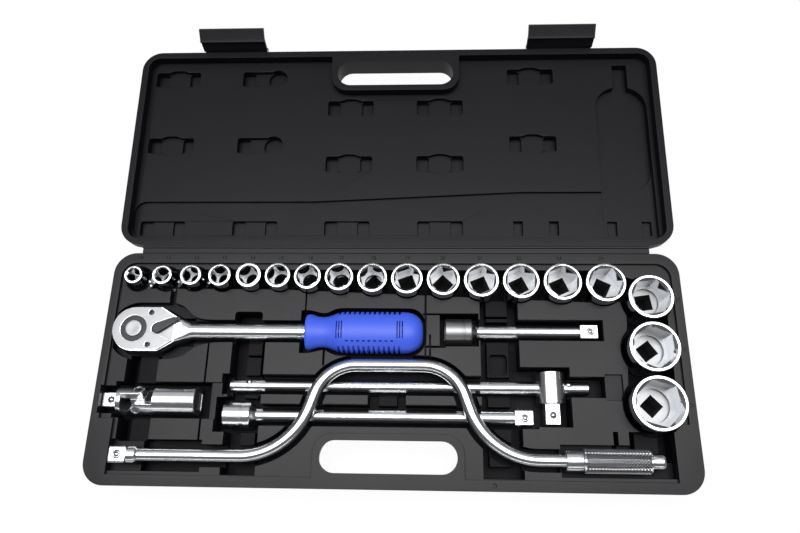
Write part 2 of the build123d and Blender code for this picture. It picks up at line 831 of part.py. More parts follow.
# Case lid, drawn in its own tilted plane
latch_pivot = (
    lid_rim_plane.origin + lid_along * (lid_far + latch_pivot_out) - lid_up * latch_pivot_down
)
with BuildPart() as case_lid:
    with BuildSketch(lid_rim_plane):
        with Locations((0, lid_middle)):
            RectangleRounded(case_width, case_depth, case_corner)
    extrude(amount=-rim_band)
    with BuildSketch(lid_rim_plane.offset(-rim_band)):
        with Locations((0, lid_middle)):
            RectangleRounded(case_width - 2 * rim_lip, case_depth - 2 * rim_lip, case_corner - rim_lip)
    extrude(amount=rim_band - lid_height, taper=wall_draft)
    fillet(case_lid.edges().group_by(Axis(lid_plane.origin, lid_up))[0], edge_round)

    # Panel, left at rim level round the handle
    with BuildSketch(lid_rim_plane):
        with Locations((0, lid_middle)):
            RectangleRounded(case_width - 2 * lid_rim, case_depth - 2 * lid_rim, lid_corner)
        with Locations((0, lid_far)):
            RectangleRounded(
                handle_length + 2 * handle_border,
                2 * (handle_front + handle_height + handle_border),
                handle_corner,
                mode=Mode.SUBTRACT,
            )
    extrude(amount=-panel_depth, mode=Mode.SUBTRACT)

    # Lower strip over the back row of sockets, and a lower corner over the first side socket
    row_low = lid_near + lid_hinge_rim
    row_right = left_edge + bottle_left
    with BuildSketch(lid_rim_plane) as row_strip:
        with BuildLine():
            Polyline(
                (left_edge + lid_rim, row_low),
                (row_right, row_low),
                (row_right, lid_step_right),
                (left_edge + lid_step_bend_right, lid_step_right),
                (left_edge + lid_step_bend_left, lid_step_left),
                (left_edge + lid_rim, lid_step_left),
                close=True,
            )
        make_face()
        fillet(row_strip.vertices().group_by(Axis.X)[0], lid_corner)
    extrude(amount=-row_depth, mode=Mode.SUBTRACT)
    bottle_right = -left_edge - side_margin + 2 * well_gap
    with BuildSketch(lid_rim_plane):
        rectangle_between(row_right, bottle_right, row_low, bottle_low + bottle_round)
    extrude(amount=-corner_depth, mode=Mode.SUBTRACT)

    # Bottle-shaped hollow over the largest sockets
    with BuildSketch(lid_rim_plane):
        with Locations(((row_right + bottle_right) / 2, (bottle_low + bottle_high) / 2)):
            RectangleRounded(bottle_right - row_right, bottle_high - bottle_low, bottle_round)
        neck_left = left_edge + bottle_neck_left
        neck_right = neck_left + bottle_neck_width
        rectangle_between(neck_left, neck_right, bottle_high - bottle_round, bottle_neck_end)
    extrude(amount=-bottle_depth, mode=Mode.SUBTRACT)

    # Tack-off pockets, where the skin is pressed to the outer wall: a pad between two wells
    tacks = [(x, y, tack_width, tack_height, panel_depth) for x, y in zip(tack_columns, tack_high)]
    tacks += [(x, y, tack_width, tack_height, panel_depth) for x, y in zip(tack_columns, tack_middle)]
    low_columns = tack_columns[:tack_low_columns]
    tacks += [(x, tack_low, tack_low_width, tack_low_height, row_depth) for x in low_columns]
    for column, y, width, height, level in tacks:
        x = left_edge + column
        well_x = (width - tack_well) / 2
        on_panel = level == panel_depth
        round_end = on_panel and column == tack_columns[round_tack_column]
        with BuildSketch(lid_rim_plane):
            with Locations((x - well_x, y)):
                RectangleRounded(tack_well, height, tack_corner)
            if round_end:
                with Locations((x + width / 2 - tack_end_round, y)):
                    Circle(tack_end_round)
            else:
                with Locations((x + well_x, y)):
                    RectangleRounded(tack_well, height, tack_corner)
        extrude(amount=-tack_depth, mode=Mode.SUBTRACT)
        with BuildSketch(lid_rim_plane):
            rectangle_between(x - well_x, x + well_x, y - height / 2, y + height / 2)
            if on_panel and not round_end:
                bulge_y = height / 2 + tack_bulge
                with Locations((x, y)):
                    Polygon(
                        (-tack_bulge_half, height / 2),
                        (-tack_bulge_top, bulge_y),
                        (tack_bulge_top, bulge_y),
                        (tack_bulge_half, height / 2),
                        (tack_bulge_half, -height / 2),
                        (tack_bulge_top, -bulge_y),
                        (-tack_bulge_top, -bulge_y),
                        (-tack_bulge_half, -height / 2),
                    )
        extrude(amount=-(level + tack_depth) / 2, mode=Mode.SUBTRACT)
    with BuildSketch(lid_rim_plane):
        with Locations([(left_edge + x, tack_low) for x in small_tacks]):
            Rectangle(small_tack_width, small_tack_height)
    extrude(amount=-tack_depth, mode=Mode.SUBTRACT)

    # Handle slot, in line with the base's slot when the case is shut
    with BuildSketch(lid_rim_plane):
        with Locations((0, lid_far - handle_front - handle_height / 2)):
            SlotOverall(handle_length, handle_height)
    extrude(amount=-lid_height, mode=Mode.SUBTRACT)

    # Lugs that carry the latch pins
    for middle in (-latch_place, latch_place):
        for side in (-1, 1):
            lug_x = middle + side * (latch_knuckle_width / 2 + lug_gap + lug_width / 2)
            lug_plane = Plane(origin=latch_pivot + Vector(lug_x, 0, 0), x_dir=lid_along, z_dir=(1, 0, 0))
            with BuildSketch(lug_plane):
                Circle(lug_round)
                rectangle_between(-latch_pivot_out - rim_lip - wall_draft, 0, -lug_round, lug_round)
                Circle(latch_pin_radius + fixed_gap, mode=Mode.SUBTRACT)
            extrude(amount=lug_width / 2, both=True)
save(case_lid, "case_lid")

# Hinge: a leaf on each half, the base's leaf ending in a bead on the hinge line
with BuildPart() as hinge_leaf_base:
    with BuildSketch(Plane.YZ.offset(-hinge_length / 2)):
        rectangle_between(back_edge, hinge_y, rim_z - hinge_thickness, rim_z)
        with Locations((hinge_y, hinge_z)):
            Circle(hinge_bead)
    extrude(amount=hinge_length)
save(hinge_leaf_base, "hinge_leaf_base")

with BuildPart() as hinge_leaf_lid:
    with BuildSketch(lid_rim_plane):
        rectangle_between(-hinge_length / 2, hinge_length / 2, hinge_bead + hinge_play, lid_near)
    extrude(amount=-hinge_thickness)
save(hinge_leaf_lid, "hinge_leaf_lid")


def make_latch(name, pin_name, middle):
    """Snap latch, leaning outward of its snapped place, and its pin."""
    lean = radians(latch_rest - lid_tilt)
    outward = Vector(0, cos(lean), -sin(lean))
    plane = Plane(origin=latch_pivot + Vector(middle, 0, 0), x_dir=outward, z_dir=(1, 0, 0))
    inner = latch_wall_gap - latch_pivot_out
    outer = inner + latch_thickness
    low = lug_round + lug_gap
    hook = latch_pivot_down + closed_gap + rim_band + latch_hook_gap
    hook_end = hook + latch_hook_height
    lip_end = hook_end + latch_lip_rise
    with BuildPart() as latch:
        with BuildSketch(plane):
            with BuildLine():
                Polyline(
                    (outer, low),
                    (inner, low),
                    (inner, hook),
                    (inner - latch_hook, hook),
                    (inner - latch_hook, hook + latch_hook_nose),
                    (inner, hook_end),
                    (inner + latch_lip_out, lip_end),
                    (outer + latch_lip_out, lip_end - latch_thickness / 2),
                    (outer, hook_end - latch_thickness / 2),
                    close=True,
                )
            make_face()
        extrude(amount=latch_width / 2, both=True)
        with BuildSketch(plane):
            Circle(latch_knuckle)
            rectangle_between(inner, outer, 0, low + latch_thickness)
        extrude(amount=latch_knuckle_width / 2, both=True)
        with BuildSketch(plane):
            Circle(latch_pin_radius + running_gap)
        extrude(amount=latch_width / 2, both=True, mode=Mode.SUBTRACT)
    save(latch, name)
    with BuildPart() as latch_pin:
        with BuildSketch(plane):
            Circle(latch_pin_radius)
        extrude(amount=latch_knuckle_width / 2 + lug_gap + lug_width, both=True)
    save(latch_pin, pin_name)


make_latch("latch_left", "latch_left_pin", -latch_place)
make_latch("latch_right", "latch_right_pin", latch_place)


def make_socket(size, turn):
    """Socket standing on its drive end, hexagon up."""
    x, y = plan(size)
    height = socket_height(size)
    nut_radius = nut_diameter(size) / 2
    drive_radius = max(drive_end_diameter, drive_end_share * nut_diameter(size)) / 2
    if abs(nut_radius - drive_radius) < drive_end_blend:
        nut_radius = max(nut_radius, drive_radius)
        drive_radius = nut_radius - drive_end_blend
    hexagon_depth = hexagon_share * height
    with BuildPart() as socket:
        with BuildSketch(Plane(origin=(x, y, socket_z), x_dir=(1, 0, 0), z_dir=(0, -1, 0))):
            with BuildLine():
                Polyline(
                    (0, 0),
                    (drive_radius - socket_chamfer, 0),
                    (drive_radius, socket_chamfer),
                    (drive_radius, drive_end_length),
                    (nut_radius, drive_end_length + socket_shoulder),
                    (nut_radius, height - socket_chamfer),
                    (nut_radius - socket_chamfer, height),
                    (0, height),
                    close=True,
                )
            make_face()
        revolve(axis=Axis((x, y, 0), (0, 0, 1)))
        with BuildSketch(Plane.XY.offset(socket_z + height)):
            with Locations((x, y)):
                RegularPolygon(size / 2, side_count=6, major_radius=False, rotation=turn)
        extrude(amount=-hexagon_depth, mode=Mode.SUBTRACT)
        through = height - hexagon_depth if size >= square_shows_from else drive_depth
        with BuildSketch(Plane.XY.offset(socket_z)):
            with Locations((x, y)):
                Rectangle(square + 2 * square_play, square + 2 * square_play, rotation=turn)
        extrude(amount=through, mode=Mode.SUBTRACT)
        if size < square_shows_from:
            with BuildSketch(Plane.XY.offset(socket_z + drive_depth)):
                with Locations((x, y)):
                    Circle(clear_hole_share * size)
            extrude(amount=height - hexagon_depth - drive_depth, mode=Mode.SUBTRACT)
        if size >= counterbore_from:
            with BuildSketch(Plane.XY.offset(socket_z + height - hexagon_depth)):
                with Locations((x, y)):
                    Circle(clear_hole_share * size)
            extrude(amount=-counterbore_depth, mode=Mode.SUBTRACT)
    save(socket, f"socket_{size}")


for size, turn in zip(row_sizes + side_sizes, socket_turns):
    make_socket(size, turn)


screw_places = (
    (ratchet_x + screw_from_centre, ratchet_y - screw_side),
    (ratchet_x + screw_from_centre, ratchet_y + screw_side),
)

# Ratchet body: head, shank, and the chamber for the gear and the pawl
with BuildPart() as ratchet_body:
    with BuildSketch(Plane.XY.offset(head_bottom)):
        with BuildLine():
            CenterArc((ratchet_x, ratchet_y), head_radius, 90, 180)
            Polyline(*head_points(0))
        make_face()
    extrude(amount=head_thickness)
    with BuildSketch(Plane.YZ.offset(taper_x)):
        with Locations((ratchet_y, ratchet_z)):
            RectangleRounded(2 * taper_half, head_thickness, neck_round)
    with BuildSketch(Plane.YZ.offset(neck_x)):
        with Locations((ratchet_y, ratchet_z)):
            Circle(shank_radius)
    loft()
    with BuildSketch(Plane.YZ.offset(neck_x)):
        with Locations((ratchet_y, ratchet_z)):
            Circle(shank_radius)
    extrude(amount=grip_x + grip_bore_depth - neck_x)
    with BuildSketch(Plane.XY.offset(head_top)):
        with Locations((ratchet_x, ratchet_y)):
            Circle(gear_radius + gear_play)
    extrude(amount=head_floor - head_thickness, mode=Mode.SUBTRACT)
    with BuildSketch(Plane.XY.offset(head_top)):
        rectangle_between(
            ratchet_x + hub_radius, lever_x + pawl_room, ratchet_y - pawl_room, ratchet_y + pawl_room
        )
    extrude(amount=-pawl_height - 2 * seat_gap, mode=Mode.SUBTRACT)
    with BuildSketch(Plane.XY.offset(head_bottom)):
        with Locations((ratchet_x, ratchet_y)):
            Circle(hub_radius + running_gap)
    extrude(amount=head_floor, mode=Mode.SUBTRACT)
    with BuildSketch(Plane.XY.offset(head_top)):
        with Locations(*screw_places):
            Circle(screw_radius + fixed_gap)
    extrude(amount=-screw_length, mode=Mode.SUBTRACT)
save(ratchet_body, "ratchet_body")

with BuildPart() as ratchet_cover_plate:
    with BuildSketch(Plane.XY.offset(head_top)):
        with BuildLine():
            CenterArc((ratchet_x, ratchet_y), head_radius - plate_inset, 90, 180)
            Polyline(*head_points(plate_inset))
        make_face()
        with Locations((ratchet_x, ratchet_y)):
            Circle(collar_radius + running_gap, mode=Mode.SUBTRACT)
        with Locations((lever_x, ratchet_y)):
            Circle(lever_stem + running_gap, mode=Mode.SUBTRACT)
        with Locations(*screw_places):
            Circle(screw_head_radius + fixed_gap, mode=Mode.SUBTRACT)
    extrude(amount=plate_thickness)
    # Fan-shaped recess that the lever swings in
    with BuildSketch(Plane.XY.offset(plate_top)):
        with Locations((lever_x, ratchet_y)):
            Circle(lever_round + lever_play)
        for side in (-1, 1):
            fan_turn = radians(side * lever_angle)
            fan_x = lever_x + lever_recess_length * cos(fan_turn)
            fan_y = ratchet_y + lever_recess_length * sin(fan_turn)
            with Locations((fan_x, fan_y)):
                Circle(lever_tip_round + lever_play)
        make_hull()
    extrude(amount=-lever_recess, mode=Mode.SUBTRACT)
save(ratchet_cover_plate, "ratchet_cover_plate")

with BuildPart() as ratchet_cover_screws:
    with BuildSketch(Plane.XY.offset(head_top)):
        with Locations(*screw_places):
            Circle(screw_head_radius)
    extrude(amount=plate_thickness)
    with BuildSketch(Plane.XY.offset(head_top)):
        with Locations(*screw_places):
            Circle(screw_radius)
    extrude(amount=seat_gap - screw_length)
save(ratchet_cover_screws, "ratchet_cover_screws")

# Drive gear: teeth, upper collar in the cover plate, lower hub, square with its ball
with BuildPart() as ratchet_drive_gear:
    with BuildSketch(Plane.XY.offset(gear_low)):
        with Locations((ratchet_x, ratchet_y)):
            Circle(gear_radius)
        with Locations((ratchet_x, ratchet_y)):
            with PolarLocations(gear_radius, gear_teeth):
                RegularPolygon(tooth_depth, side_count=3, rotation=180, mode=Mode.SUBTRACT)
    extrude(amount=gear_high - gear_low)
    with BuildSketch(Plane.XY.offset(gear_high)):
        with Locations((ratchet_x, ratchet_y)):
            Circle(collar_radius)
    extrude(amount=plate_top - gear_high)
    with BuildSketch(Plane.XY.offset(gear_low)):
        with Locations((ratchet_x, ratchet_y)):
            Circle(hub_radius)
    extrude(amount=head_bottom - gear_low)
    with BuildSketch(Plane.XY.offset(head_bottom)):
        with Locations((ratchet_x, ratchet_y)):
            RectangleRounded(square, square, square_corner)
    extrude(amount=-drive_tip)
    with BuildSketch(Plane.XY.offset(plate_top)):
        with Locations((ratchet_x, ratchet_y)):
            Circle(button_radius + running_gap)
    extrude(amount=-button_height - button_travel, mode=Mode.SUBTRACT)
    with BuildSketch(Plane.XY.offset(plate_top)):
        with Locations((ratchet_x, ratchet_y)):
            Circle(stem_radius + running_gap)
    extrude(amount=head_bottom - plate_top, mode=Mode.SUBTRACT)
    cut_ball_seat(ratchet_ball_plane)
save(ratchet_drive_gear, "ratchet_drive_gear")
make_ball("ratchet_ball", ratchet_ball_plane)

# Quick release button with its stem inside the gear
with BuildPart() as ratchet_release_button:
    with BuildSketch(Plane.XY.offset(plate_top + button_proud)):
        with Locations((ratchet_x, ratchet_y)):
            Circle(button_radius)
    extrude(amount=-button_height)
    with BuildSketch(Plane.XY.offset(plate_top)):
        with Locations((ratchet_x, ratchet_y)):
            Circle(stem_radius)
    extrude(amount=head_bottom + button_travel + seat_gap - plate_top)
    chamfer(ratchet_release_button.edges().group_by(Axis.Z)[-1], button_proud / 2)
save(ratchet_release_button, "ratchet_release_button")

# Pawl inside the head, turned by the lever's stem
with BuildPart() as ratchet_pawl:
    with BuildSketch(Plane.XY.offset(head_top - seat_gap)):
        with Locations((lever_x, ratchet_y)):
            Circle(pawl_radius)
        pawl_start = ratchet_x + gear_radius + pawl_gap
        rectangle_between(pawl_start, lever_x, ratchet_y - pawl_half, ratchet_y + pawl_half)
        with Locations((lever_x, ratchet_y)):
            Circle(lever_stem + running_gap, mode=Mode.SUBTRACT)
    extrude(amount=-pawl_height)
save(ratchet_pawl, "ratchet_pawl")

# Reversing lever on top of the cover plate
lever_tip = (
    lever_x + lever_length * cos(radians(lever_angle)),
    ratchet_y + lever_length * sin(radians(lever_angle)),
)
lever_low = plate_top - lever_recess + seat_gap
with BuildPart() as ratchet_reverse_lever:
    with BuildSketch(Plane.XY.offset(lever_low)):
        with Locations((lever_x, ratchet_y)):
            Circle(lever_round)
        with Locations(lever_tip):
            Circle(lever_tip_round)
        make_hull()
    extrude(amount=lever_height)
    with BuildSketch(Plane.XY.offset(lever_low)):
        with Locations((lever_x, ratchet_y)):
            Circle(lever_stem)
    extrude(amount=head_top - pawl_height - lever_low)
    chamfer(ratchet_reverse_lever.edges().group_by(Axis.Z)[-1], seat_gap)
save(ratchet_reverse_lever, "ratchet_reverse_lever")

# Soft grip: flared flange, waist, full barrel and a rounded end
with BuildPart() as ratchet_grip:
    for along, width in grip_stations:
        with BuildSketch(Plane.YZ.offset(grip_x + along)):
            with Locations((ratchet_y, ratchet_z)):
                Ellipse(width / 2, width / 2 * grip_thickness / grip_width)
    loft(ruled=True)
    with BuildSketch(Plane.YZ.offset(grip_x)):
        with Locations((ratchet_y, ratchet_z)):
            Circle(shank_radius + fixed_gap)
    extrude(amount=grip_bore_depth, mode=Mode.SUBTRACT)
save(ratchet_grip, "ratchet_grip")


def make_extension(name, ball_name, start, middle, length):
    """Extension bar: female square at the left, square with a ball at the right."""
    square_start = start + length - square_length
    ball_plane = Plane(origin=(start + length - ball_from_tip, middle, extension_z + square / 2))
    with BuildPart() as extension:
        with BuildSketch(Plane(origin=(start, middle, extension_z), x_dir=(1, 0, 0), z_dir=(0, -1, 0))):
            with BuildLine():
                Polyline(
                    (0, 0),
                    (0, female_radius - edge_break),
                    (edge_break, female_radius),
                    (female_length - edge_break, female_radius),
                    (female_length, female_radius - edge_break),
                    (female_length + extension_waist, extension_radius),
                    (length - square_length, extension_radius),
                    (length - square_length, 0),
                    close=True,
                )
            make_face()
        revolve(axis=Axis((start, middle, extension_z), (1, 0, 0)))
        with BuildSketch(Plane.YZ.offset(start)):
            with Locations((middle, extension_z)):
                Rectangle(square + 2 * square_play, square + 2 * square_play)
        extrude(amount=female_depth, mode=Mode.SUBTRACT)
        with BuildSketch(Plane.YZ.offset(square_start)):
            with Locations((middle, extension_z)):
                RectangleRounded(square, square, square_corner)
        extrude(amount=square_length)
        cut_ball_seat(ball_plane)
    save(extension, name)
    make_ball(ball_name, ball_plane)


make_extension("short_extension", "short_extension_ball", short_x, short_y, short_length)
make_extension("long_extension", "long_extension_ball", long_x, long_y, long_length)

# Sliding T-bar: bar with a stop ball near each end, slider with its square
stop_normal = Vector(0, sin(radians(stop_lean)), cos(radians(stop_lean)))
stop_planes = [
    Plane(origin=Vector(x, tbar_y, tbar_z) + stop_normal * tbar_radius, z_dir=stop_normal)
    for x in (tbar_x + stop_from_end, tbar_x + tbar_length - stop_from_end)
]
with BuildPart() as tbar_rod:
    with BuildSketch(Plane.YZ.offset(tbar_x)):
        with Locations((tbar_y, tbar_z)):
            Circle(tbar_radius)
    extrude(amount=tbar_length)
    chamfer(tbar_rod.edges().filter_by(GeomType.CIRCLE), edge_break)
    for plane in stop_planes:
        cut_ball_seat(plane)
save(tbar_rod, "tbar_rod")

with BuildPart() as tbar_stop_balls:
    for plane in stop_planes:
        with Locations(plane.offset(ball_proud - ball_radius)):
            Sphere(ball_radius)
save(tbar_stop_balls, "tbar_stop_balls")

slider_front = tbar_y - slider_length / 2
slider_tip = slider_front - square_length
slider_ball_plane = Plane(origin=(slider_x, slider_tip + ball_from_tip, tbar_z + square / 2))
with BuildPart() as tbar_slider:
    with BuildSketch(Plane.XZ.offset(-slider_front - slider_length)):
        with Locations((slider_x, tbar_z)):
            Circle(slider_radius)
    extrude(amount=slider_length)
    chamfer(tbar_slider.edges().filter_by(GeomType.CIRCLE), edge_break)
    with BuildSketch(Plane.XZ.offset(-slider_front)):
        with Locations((slider_x, tbar_z)):
            RectangleRounded(square, square, square_corner)
    extrude(amount=square_length)
    with BuildSketch(Plane.YZ.offset(slider_x)):
        with Locations((tbar_y, tbar_z)):
            Circle(tbar_radius + running_gap)
    extrude(amount=slider_radius, both=True, mode=Mode.SUBTRACT)
    cut_ball_seat(slider_ball_plane)
save(tbar_slider, "tbar_slider")
make_ball("tbar_slider_ball", slider_ball_plane)

# Universal joint: two forks at right angles, held by a cross with four pins
cross_centre = Vector(cross_x, joint_y, joint_z)
drive_pin = Vector(0, cos(radians(joint_roll)), sin(radians(joint_roll)))
driven_pin = Vector(0, -sin(radians(joint_roll)), cos(radians(joint_roll)))
joint_ball_plane = Plane(origin=(joint_x + ball_from_tip, joint_y, joint_z + square / 2))


def make_fork(name, pin_axis, end_x, side):
    """Half of the joint: round body, two ears with pin holes, square at its far end."""
    ear_plane = Plane(origin=cross_centre, x_dir=(side, 0, 0), z_dir=pin_axis)
    round_plane = Plane(origin=cross_centre, z_dir=(side, 0, 0))
    body_end = abs(end_x - cross_x)
    with BuildPart() as fork:
        with BuildSketch(ear_plane):
            Circle(ear_half)
            rectangle_between(0, fork_depth, -ear_half, ear_half)
        extrude(amount=joint_radius, both=True)
        with BuildSketch(round_plane.offset(-ear_half)):
            Circle(joint_radius)
        extrude(amount=fork_depth + ear_half, mode=Mode.INTERSECT)
        with BuildSketch(ear_plane):
            rectangle_between(-joint_radius, fork_depth, -joint_radius, joint_radius)
        extrude(amount=fork_slot / 2, both=True, mode=Mode.SUBTRACT)
        with BuildSketch(round_plane.offset(fork_depth)):
            Circle(joint_radius)
        extrude(amount=body_end - fork_depth)
        with BuildSketch(ear_plane):
            Circle(cross_pin + running_gap)
        extrude(amount=joint_radius, both=True, mode=Mode.SUBTRACT)
        if side > 0:
            with BuildSketch(round_plane.offset(body_end)):
                Rectangle(square + 2 * square_play, square + 2 * square_play)
            extrude(amount=-female_depth, mode=Mode.SUBTRACT)
        else:
            with BuildSketch(round_plane.offset(body_end)):
                RectangleRounded(square, square, square_corner)
            extrude(amount=joint_square)
            cut_ball_seat(joint_ball_plane)
    save(fork, name)


make_fork("uj_drive_yoke", drive_pin, joint_x + joint_square, -1)
make_fork("uj_socket_yoke", driven_pin, joint_x + joint_body, 1)
make_ball("uj_ball", joint_ball_plane)

with BuildPart() as uj_cross:
    with BuildSketch(Plane(origin=cross_centre, x_dir=drive_pin, z_dir=(1, 0, 0))):
        Rectangle(cross_size, cross_size)
    extrude(amount=cross_size / 2, both=True)
    for pin_axis in (drive_pin, driven_pin):
        with BuildSketch(Plane(origin=cross_centre, x_dir=(1, 0, 0), z_dir=pin_axis)):
            Circle(cross_pin)
        extrude(amount=joint_radius - edge_break, both=True)
save(uj_cross, "uj_cross")

# Speed brace: bent crank with a square, fixed collar, loose grip and end stub
brace_ball_plane = Plane(origin=(brace_x + ball_from_tip, brace_y, brace_z + square / 2))
with BuildPart() as brace_crank:
    with BuildLine(Plane.XY.offset(brace_z)):
        FilletPolyline(*crank_points, radius=crank_rounds)
    with BuildSketch(Plane(origin=(*crank_points[0], brace_z), z_dir=(1, 0, 0))):
        Circle(brace_radius)
    sweep()
    with BuildSketch(Plane(origin=(*crank_points[0], brace_z), x_dir=(1, 0, 0), z_dir=(0, -1, 0))):
        with BuildLine():
            Polyline(
                (0, 0),
                (0, brace_neck_radius - edge_break),
                (edge_break, brace_neck_radius),
                (brace_neck / 2, brace_neck_radius),
                (brace_neck, 0),
                close=True,
            )
        make_face()
    revolve(axis=Axis((*crank_points[0], brace_z), (1, 0, 0)))
    with BuildSketch(Plane.YZ.offset(brace_x)):
        with Locations((brace_y, brace_z)):
            RectangleRounded(square, square, square_corner)
    extrude(amount=brace_square)
    cut_ball_seat(brace_ball_plane)
save(brace_crank, "brace_crank")
make_ball("brace_ball", brace_ball_plane)

with BuildPart() as brace_collar:
    with BuildSketch(Plane.YZ.offset(brace_grip_x - brace_collar_length)):
        with Locations((brace_y, brace_z)):
            Circle(brace_collar_radius)
    extrude(amount=brace_collar_length - seat_gap)
    chamfer(brace_collar.edges().filter_by(GeomType.CIRCLE), edge_break)
    with BuildSketch(Plane.YZ.offset(brace_grip_x - brace_collar_length)):
        with Locations((brace_y, brace_z)):
            Circle(brace_radius + fixed_gap)
    extrude(amount=brace_collar_length, mode=Mode.SUBTRACT)
save(brace_collar, "brace_collar")

with BuildPart() as brace_grip:
    with BuildSketch(Plane.YZ.offset(brace_grip_x)):
        with Locations((brace_y, brace_z)):
            Circle(brace_grip_radius)
    extrude(amount=brace_grip_length - seat_gap)
    chamfer(brace_grip.edges().filter_by(GeomType.CIRCLE), edge_break)
    with BuildSketch(Plane.YZ.offset(brace_grip_x)):
        with Locations((brace_y, brace_z)):
            Circle(brace_radius + running_gap)
    extrude(amount=brace_grip_length, mode=Mode.SUBTRACT)
save(brace_grip, "brace_grip")

with BuildPart() as brace_end_stub:
    with BuildSketch(Plane.YZ.offset(brace_grip_x + brace_grip_length)):
        with Locations((brace_y, brace_z)):
            Circle(brace_stub_radius)
    extrude(amount=brace_stub_length)
    chamfer(brace_end_stub.edges().group_by(Axis.X)[-1], 2 * edge_break)
save(brace_end_stub, "brace_end_stub")
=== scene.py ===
import json
from math import cos, hypot, pi, radians, tan

import bpy
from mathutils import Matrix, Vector


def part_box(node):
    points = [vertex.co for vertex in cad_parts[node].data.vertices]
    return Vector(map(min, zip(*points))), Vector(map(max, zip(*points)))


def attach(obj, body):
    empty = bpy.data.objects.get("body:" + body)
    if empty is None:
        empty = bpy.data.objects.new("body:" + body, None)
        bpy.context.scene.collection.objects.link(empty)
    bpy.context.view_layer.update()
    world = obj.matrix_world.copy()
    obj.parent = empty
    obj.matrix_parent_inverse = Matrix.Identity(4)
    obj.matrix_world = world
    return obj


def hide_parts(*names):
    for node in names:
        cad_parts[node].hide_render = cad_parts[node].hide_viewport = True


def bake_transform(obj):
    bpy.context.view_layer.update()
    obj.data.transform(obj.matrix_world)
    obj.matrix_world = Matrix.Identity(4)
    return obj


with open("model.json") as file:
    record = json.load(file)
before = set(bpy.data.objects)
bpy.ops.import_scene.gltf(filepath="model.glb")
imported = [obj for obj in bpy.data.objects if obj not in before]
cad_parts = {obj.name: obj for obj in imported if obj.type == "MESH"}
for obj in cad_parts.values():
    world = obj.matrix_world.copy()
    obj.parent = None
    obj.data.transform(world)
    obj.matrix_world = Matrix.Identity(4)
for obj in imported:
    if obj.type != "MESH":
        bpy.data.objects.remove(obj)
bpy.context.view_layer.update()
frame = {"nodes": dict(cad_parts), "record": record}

bl_info = {
    "name": "Socket Wrench Set",
    "version": (1, 0, 0),
    "blender": (4, 5, 0),
    "location": "View3D > Sidebar > Socket Set",
    "description": "Finishes the packed socket wrench set: moulded case, chrome tools and studio",
    "category": "Object",
}

MM = 0.001
AXES = {"X": Vector((1, 0, 0)), "Z": Vector((0, 0, 1))}
DISC_TURN = {"X": (0, pi / 2, 0), "Z": (0, 0, 0)}
# Nut size of each socket and how far it is turned in its well, in degrees
SOCKETS = {
    10: 20, 11: 35, 12: 10, 13: 25, 14: 40, 15: 0, 16: 30, 17: 15, 18: 45, 19: 20, 20: 45, 21: 22, 22: 26,
    23: 24, 24: 64, 27: 8, 30: 35, 32: 44,
}
SIDE_SOCKETS = (27, 30, 32)
# The grip's outline: distance from the flange and width, in millimetres
GRIP_STATIONS = (
    (1.6, 22), (1.8, 26), (2.3, 28.6), (3.2, 29.8), (4.6, 30.2), (6.2, 29.9), (8.2, 28.6), (10.5, 27),
    (13.2, 25.9), (16.5, 25.6), (20, 26.4), (24, 29), (28, 32.2), (31, 33.9), (34, 34.5), (60, 34.55),
    (82, 34.5), (86.5, 33.9), (90, 32), (93, 28.8), (95.3, 25), (97, 20.5), (98.1, 15), (98.5, 9.5),
)
# Turned ends and rings: distance along the axis and how far the radius is below the full one, in millimetres
SOCKET_FOOT = ((0, 0.9), (0.25, 0.4), (0.9, 0))
SOCKET_RIM = ((-1.1, 0), (-0.6, 0.08), (-0.25, 0.3), (0, 0.75))
SHANK_RING = ((-5.2, 0.7), (-5, 0.3), (-4.7, 0), (-1.3, 0), (-1, 0.3), (2.4, 0.4), (2.5, 0.7))
SCREW_HEAD = ((-1.99, 0.2), (-1.8, 0), (-0.4, 0), (-0.12, 0.14), (0, 0.45))
BUTTON_CAP = (
    (-4.99, 0.3), (-4.7, 0), (-0.55, 0), (-0.3, 0.15), (-0.12, 0.5), (-0.02, 1.1), (0, 1.8), (-0.03, 3.2),
    (-0.12, 5),
)
EXTENSION_END = (
    (0, 1), (0.3, 0.4), (0.9, 0), (14.2, 0), (14.5, 0.35), (15.9, 0.35), (16.2, 0), (20.9, 0), (21.7, 0.35),
    (22.2, 0.9), (23, 1.9), (24.2, 3.2), (25.4, 4.2), (26.4, 4.8),
)
BRACE_NECK = ((-0.5, 1.2), (0, 0.4), (0.5, 0), (5.2, 0), (6.4, 0.5), (7.4, 1.3), (8.2, 2))
COLLAR_START = ((0.01, 0.7), (0.4, 0.15), (0.9, 0))
COLLAR_END = ((-2.2, 0), (-1.9, 0.4), (-1.4, 0.4), (-1.1, 0), (-0.5, 0), (0, 0.4))
STUB_START = ((0, 0.5), (0.4, 0))
STUB_END = ((-2.4, 0), (-1, 0.35), (-0.3, 1), (0, 2))
# Facets round a piece
HOLE_SIDES = 48
ROD_SIDES = 48
FLOOR_SIDES = 64
BALL_SIDES = 32
GRIP_SIDES = 96
# Steps along a socket's shoulder and round a bend
SHOULDER_STEPS = 8
BEND_STEPS = 24
# Points of a CAD mesh nearer than this are one point
MERGE = 0.002 * MM
# A face is level above the first and a wall below the second, by how far its normal points up
LEVEL = 0.95
WALL = 0.5
# Faces that meet at more than this angle make a sharp edge
SHARP = radians(30)
# Spinning turns clockwise for a positive angle
SPIN = -1


def linear(code):
    """An sRGB hex colour as linear red, green and blue."""
    parts = [int(code[i:i + 2], 16) / 255 for i in (0, 2, 4)]
    return tuple(c / 12.92 if c <= 0.04045 else ((c + 0.055) / 1.055) ** 2.4 for c in parts)


def length(name, description, millimetres):
    """A length that the panel shows in the scene's unit."""
    return bpy.props.FloatProperty(
        name=name, description=description, default=millimetres * MM, unit="LENGTH")


